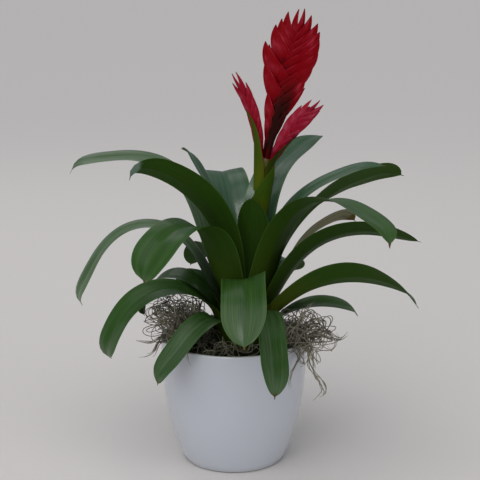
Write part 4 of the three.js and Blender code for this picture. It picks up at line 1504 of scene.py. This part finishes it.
@dataclass
class FlowerHead:
    """The main spike and the two side spikes."""

    frame: PlantFrame
    foot: float = 176.95
    spikes: tuple[Spike, ...] = (
        Spike("main_spike", "spike_red", 0, 5.5, 148, 0, 46, 3.8, 3.6, 5, 12, 0.32,
              BractSkin("spike_red"),
              ((32, 4, 4), (38, -5, -6), (46, 6, 5), (54, -9, -10), (59, 10, 8.5),
               (66, -12.5, -13), (76, 20.5, 13), (85, 18.5, 18), (92, -21.5, -19), (96, 15, 17),
               (103, 22, 22), (110, -26, -24), (108, -22, -18), (113, 24, 24), (122, 23, 24),
               (127, -20, -22), (129.5, 21.5, 22), (133.5, -16, -18), (136.5, 18, 19),
               (141, -11.5, -15), (142.5, 10.5, 14), (145.5, -2.5, -8), (147, 3, 8))),
        Spike("left_spike", "side_spike_red", -4.8, -25, 87, 6, 38, 2.7, 2.2, 3, 8, 0.26,
              BractSkin("side_spike_left", red=(152, 18, 40), bright=(196, 92, 112),
                        root=(140, 14, 34), low=(110, 6, 20), standing_dark=0.2,
                        dark_until=0.25),
              ((26, -4, -5), (30, 4, 5), (36, -4.5, -5.5), (37, 5, 6), (46, 5.5, 6),
               (47, -5, -5.5), (56, -4.5, -5), (57, 6, 7), (64, 6, 7), (66, -5, -6),
               (75, 6.5, 7), (78, -5.5, -6), (86.5, -1.5, -4), (87, 3, 5))),
        Spike("right_spike", "side_spike_red", 6, 29, 75, -3.5, 38, 2.9, 2.2, 3, 10, 0.28,
              BractSkin("side_spike_right", red=(160, 24, 48), bright=(206, 110, 138),
                        root=(146, 18, 40), low=(116, 8, 24), standing_dark=0.2,
                        dark_until=0.25),
              ((25, -5, -6), (29, 5, 6), (38, -7, -8), (39, 6.5, 7), (46, 8, 8), (50, -8.5, -9),
               (58, 9.5, 10), (60, -7.5, -9), (66, 9, 10), (69.5, -4.5, -7), (72.5, 7.5, 9),
               (74, 2, 5))),
    )

    def build(self, finishes: Finishes) -> None:
        """Grow the spikes."""
        tree = FoldedBractTree()
        for spike in self.spikes:
            sizes = {**self.frame.inputs(), **spike.inputs(), "Foot": self.foot}
            skin = finishes.of(spike.skin)
            piece = tree.grow(f"red_{spike.node}", spike.seedling(), sizes, skin)
            mount(piece, spike.slot, spike.node)


class KeepOut:
    """What the moss lies on and among, so that no strand runs through it."""

    def __init__(self, pieces: Iterable[bpy.types.Object]) -> None:
        """Gather the faces of the pieces, in millimetres."""
        verts: list[Vector] = []
        faces: list[tuple[int, ...]] = []
        for piece in pieces:
            start = len(verts)
            verts.extend(vert.co / MILLIMETRE for vert in piece.data.vertices)
            faces.extend(tuple(start + index for index in face.vertices)
                         for face in piece.data.polygons)
        self.tree = BVHTree.FromPolygons(verts, faces)

    def blocked(self, start: Vector, end: Vector) -> bool:
        """True if a surface lies between two points."""
        path = end - start
        return self.tree.ray_cast(start, path.normalized(), path.length)[0] is not None

    def clear(self, spot: Vector, gap: float) -> Vector:
        """Push a point out of the surface that it comes too near to."""
        near, normal, _, distance = self.tree.find_nearest(spot)
        if near is None or distance > gap:
            return spot
        away = (spot - near).normalized() if distance > 1e-6 else normal
        return near + away * gap


@dataclass(frozen=True)
class Clump:
    """A clump of moss: its core, how it spreads, and the strands that trail from it."""

    node: str
    core: Point
    size: Point
    drift: Point
    strands: int
    steps: int
    trails: tuple[tuple[Point, ...], ...] = ()


@dataclass(frozen=True)
class Habit:
    """How a strand grows: how tightly it curls, how far it strays and what it drifts to."""

    curl: Span
    reach: float
    drift: float


def toss(dice: random.Random, spread: float) -> Vector:
    """Return a random vector."""
    return Vector([dice.gauss(0, spread) for _ in range(3)])


@dataclass
class Moss:
    """Dry, wiry moss tucked under the leaves and hanging over the rim."""

    radius: float = 0.4
    stride: float = 2.0
    gap: float = 0.75
    skin: RoughSkin = RoughSkin(
        "dry_moss", (82, 79, 64), (172, 168, 148), 45.0, 0.9, 0.0001, 0.2)
    first_seed: int = 40
    seed_step: float = 31.0
    spread: float = 0.42  # of the strands' starts, as a share of the clump's size
    stray_share: float = 0.45
    stray: Habit = Habit((0.01, 0.1), 1.9, 0.07)
    tight: Habit = Habit((0.04, 0.26), 1.1, 0.0)
    lengths: Span = (0.3, 1.1)
    wobble: float = 0.22
    pull: float = 0.16
    strands_in_trail: int = 6
    trail_lengths: Span = (0.6, 1.0)
    sways: tuple[tuple[float, Span], ...] = ((2.2, (0.06, 0.14)), (1.5, (0.2, 0.42)))
    fewest_points: int = 4
    clumps: tuple[Clump, ...] = (
        Clump("moss_left", (-43, -14, 137), (19, 13, 20), (-8, -4, 6), 210, 46,
              (((-50, -44, 127), (-46, -60, 129), (-45, -69, 126), (-43, -71, 118),
                (-37, -71, 117)),
               ((-62, -18, 130), (-72, -24, 128.5), (-82, -25, 124), (-96, -25, 127)),
               ((-62, -26, 129), (-71, -30, 128), (-78, -33, 117), (-89, -35, 116),
                (-101, -35, 121)))),
        Clump("moss_right", (62, -29, 130), (18, 13, 13), (14, -6, 4), 140, 46,
              (((64, -40, 130), (71, -43, 124), (74, -42, 106), (83, -40, 88), (86, -38, 76),
                (78, -38, 68)),
               ((60, -44, 129), (63, -49, 121), (55, -56, 107), (51, -58, 96), (53, -58, 84)),
               ((68, -40, 130), (74, -46, 120), (78, -46, 108), (82, -44, 96)),
               ((60, -42, 140), (62, -47, 154), (70, -50, 168), (79, -48, 178)),
               ((72, -34, 132), (86, -42, 138), (99, -45, 134), (111, -45, 142)))),
        Clump("moss_front", (-4, -44, 120), (36, 11, 5), (0, -3, 2), 24, 40),
        Clump("moss_back", (8, 48, 121), (34, 10, 7), (0, 3, 3), 50, 40),
    )

    def wander(self, clump: Clump, keep_out: KeepOut, dice: random.Random) -> list[Vector]:
        """Let one strand curl through its clump.

        Args:
            clump: the clump.
            keep_out: what the strand may not run through.
            dice: the source of chance.

        Returns:
            The strand's points.
        """
        core, size = Vector(clump.core), Vector(clump.size)
        offset = Vector([dice.gauss(0, self.spread) * half for half in size])
        spot = keep_out.clear(core + offset, self.gap)
        heading, axis = toss(dice, 1).normalized(), toss(dice, 1).normalized()
        habit = self.stray if dice.random() < self.stray_share else self.tight
        curl = dice.uniform(*habit.curl)
        points = [spot]
        for _ in range(int(clump.steps * dice.uniform(*self.lengths))):
            axis = (axis + toss(dice, self.wobble)).normalized()
            heading = (Matrix.Rotation(curl, 3, axis) @ heading).normalized()
            out = Vector([(spot[i] - core[i]) / size[i] for i in range(3)])
            if out.length > habit.reach:
                heading = (heading - out * self.pull).normalized()
            if habit.drift:
                heading = (heading + Vector(clump.drift).normalized() * habit.drift).normalized()
            step = spot + heading * self.stride
            if keep_out.blocked(spot, step):
                heading, axis = -heading, -axis
                continue
            step = keep_out.clear(step, self.gap)
            if not keep_out.blocked(spot, step):
                points.append(step)
                spot = step
        return points

    def curve(self, knots: Sequence[Vector]) -> list[Vector]:
        """Lead a smooth curve through its knots."""
        points: list[Vector] = []
        for index in range(len(knots) - 1):
            before, here = knots[max(index - 1, 0)], knots[index]
            after, beyond = knots[index + 1], knots[min(index + 2, len(knots) - 1)]
            pieces = max(3, int((after - here).length / self.stride))
            for piece in range(pieces):
                t = piece / pieces
                square = 2 * before - 5 * here + 4 * after - beyond
                cube = 3 * here - before - 3 * after + beyond
                points.append(0.5 * (2 * here + (after - before) * t + square * t ** 2
                                     + cube * t ** 3))
        return [*points, knots[-1]]

    def trail(self, clump: Clump, guide: Sequence[Point], keep_out: KeepOut,
              dice: random.Random) -> list[Vector]:
        """Lead a strand from its clump along a guide, loosely.

        Args:
            clump: the clump.
            guide: where the strand goes.
            keep_out: what the strand may not run through.
            dice: the source of chance.

        Returns:
            The strand's points.
        """
        points = self.curve([Vector(clump.core), *map(Vector, guide)])
        points = points[:int(len(points) * dice.uniform(*self.trail_lengths))]
        sways = [(toss(dice, 1) * size, dice.uniform(*pitch), dice.uniform(0, math.tau))
                 for size, pitch in self.sways]
        swayed = [spot + sum((sway * math.sin(pitch * number + turn)
                              for sway, pitch, turn in sways), Vector())
                  for number, spot in enumerate(points)]
        kept = [keep_out.clear(swayed[0], self.gap)]
        for spot in swayed[1:]:
            spot = keep_out.clear(spot, self.gap)
            if not keep_out.blocked(kept[-1], spot):
                kept.append(spot)
        return kept

    def build(self, finishes: Finishes, keep_out: KeepOut) -> None:
        """Grow the clumps.

        Args:
            finishes: the materials.
            keep_out: what no strand may run through.
        """
        tree = StrandTree()
        for number, clump in enumerate(self.clumps):
            dice = random.Random(self.first_seed + number)
            lines = [self.wander(clump, keep_out, dice) for _ in range(clump.strands)]
            lines += [self.trail(clump, guide, keep_out, dice) for guide in clump.trails
                      for _ in range(self.strands_in_trail)]
            verts: list[Vector] = []
            edges: list[tuple[int, int]] = []
            for line in lines:
                if len(line) >= self.fewest_points:
                    start = len(verts)
                    verts.extend(line)
                    edges.extend((at, at + 1) for at in range(start, len(verts) - 1))
            seedling = bpy.data.meshes.new(clump.node + "_seedling")
            seedling.from_pydata(verts, edges, [])
            sizes = {"Radius": self.radius, "Seed": number * self.seed_step}
            piece = tree.grow(f"dry_{clump.node}", seedling, sizes, finishes.of(self.skin))
            mount(piece, "dry_moss", clump.node)


@dataclass(frozen=True)
class Lamp:
    """A round softbox: where it hangs, its width and its power."""

    name: str
    spot: Point
    width: float
    power: float
    only_sheen: bool = False


@dataclass
class Studio:
    """A pale floor under soft light, and the camera."""

    eye: Point = (0.0059, -1.115, 0.4755)
    dip: float = 12.9
    lens: float = 88.7
    sensor: float = 36.0
    far: float = 100.0
    floor_radius: float = 30.0
    floor_sides: int = 96
    floor_shade: Shade = (238, 233, 230)
    floor_roughness: float = 0.9
    floor_specular: float = 0.1
    sky: Shade = (190, 194, 200)
    sky_strength: float = 0.4
    sun_tilt: Point = (24.0, -14.0, 0.0)
    sun_strength: float = 1.2
    sun_spread: float = 80.0
    lamps: tuple[Lamp, ...] = (
        Lamp("front_softbox", (-0.7, -1.9, 1.1), 1.4, 6.0),
        Lamp("side_softbox", (1.6, -1.1, 0.8), 1.2, 3.0),
        Lamp("sheen_softbox", (0.05, -0.75, 1.7), 0.9, 16.0, only_sheen=True),
        Lamp("back_softbox", (-0.5, 1.2, 1.5), 1.0, 2.0),
    )
    aim: Point = (0.0, 0.0, 0.2)

    def hang(self, name: str, what: bpy.types.ID, turns: Iterable[float],
             spot: Point = (0.0, 0.0, 0.0)) -> bpy.types.Object:
        """Hang a lamp or a camera in the scene, turned as asked."""
        holder = bpy.data.objects.new(name, what)
        holder.location = spot
        holder.rotation_euler = tuple(turns)
        bpy.context.scene.collection.objects.link(holder)
        return holder

    def floor(self) -> None:
        """Lay the floor."""
        angles = [math.tau * side / self.floor_sides for side in range(self.floor_sides)]
        verts = [(self.floor_radius * math.cos(angle), self.floor_radius * math.sin(angle), 0.0)
                 for angle in angles]
        mesh = bpy.data.meshes.new("studio_floor")
        mesh.from_pydata(verts, [], [tuple(range(self.floor_sides))])
        paint = bpy.data.materials.new("studio_paint")
        paint.use_nodes = True
        shader = paint.node_tree.nodes["Principled BSDF"]
        shader.inputs["Base Color"].default_value = pigment(self.floor_shade)
        shader.inputs["Roughness"].default_value = self.floor_roughness
        shader.inputs["Specular IOR Level"].default_value = self.floor_specular
        floor = set_out("studio_floor", mesh, paint)

    def light(self) -> None:
        """Hang the softboxes and set the sky."""
        for lamp in self.lamps:
            made = bpy.data.lights.new(lamp.name, "AREA")
            made.shape = "DISK"
            made.size = lamp.width
            made.energy = lamp.power
            aimed = (Vector(self.aim) - Vector(lamp.spot)).to_track_quat("-Z", "Y").to_euler()
            holder = self.hang(lamp.name, made, aimed, lamp.spot)
            holder.visible_diffuse = not lamp.only_sheen
        sun = bpy.data.lights.new("overcast_light", "SUN")
        sun.energy = self.sun_strength
        sun.angle = math.radians(self.sun_spread)
        self.hang("overcast_light", sun, map(math.radians, self.sun_tilt))
        world = bpy.data.worlds.new("studio_sky")
        world.use_nodes = True
        sky = world.node_tree.nodes["Background"]
        sky.inputs["Color"].default_value = pigment(self.sky)
        sky.inputs["Strength"].default_value = self.sky_strength
        bpy.context.scene.world = world

    def shoot(self) -> None:
        """Set the camera up."""
        camera = bpy.data.cameras.new("studio_camera")
        camera.lens = self.lens
        camera.sensor_width = self.sensor
        camera.clip_end = self.far
        turns = (math.radians(90 - self.dip), 0.0, 0.0)
        bpy.context.scene.camera = self.hang("studio_camera", camera, turns, self.eye)
        bpy.context.scene.view_settings.view_transform = "Standard"


def main() -> None:
    """Build the pieces in order and report each."""
    logging.basicConfig(level=logging.INFO, format="%(message)s")
    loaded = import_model()
    nodes = loaded["nodes"]
    studio = Studio()
    studio.shoot()
    studio.floor()
    studio.light()
    finishes, frame, blades = Finishes(), PlantFrame(), BladeTree()
    pot = Pots().build(finishes, nodes)
    bed = SoilBed().build(finishes, nodes)
    leaves = Rosette(frame).build(blades, finishes)
    stem = FlowerStem(frame).build(blades, finishes)
    FlowerHead(frame).build(finishes)
    solid = [bed, *leaves, *stem, pot, nodes["nursery_pot"], nodes["stem_base"]]
    Moss().build(finishes, KeepOut(solid))


if __name__ == "__main__":
    main()
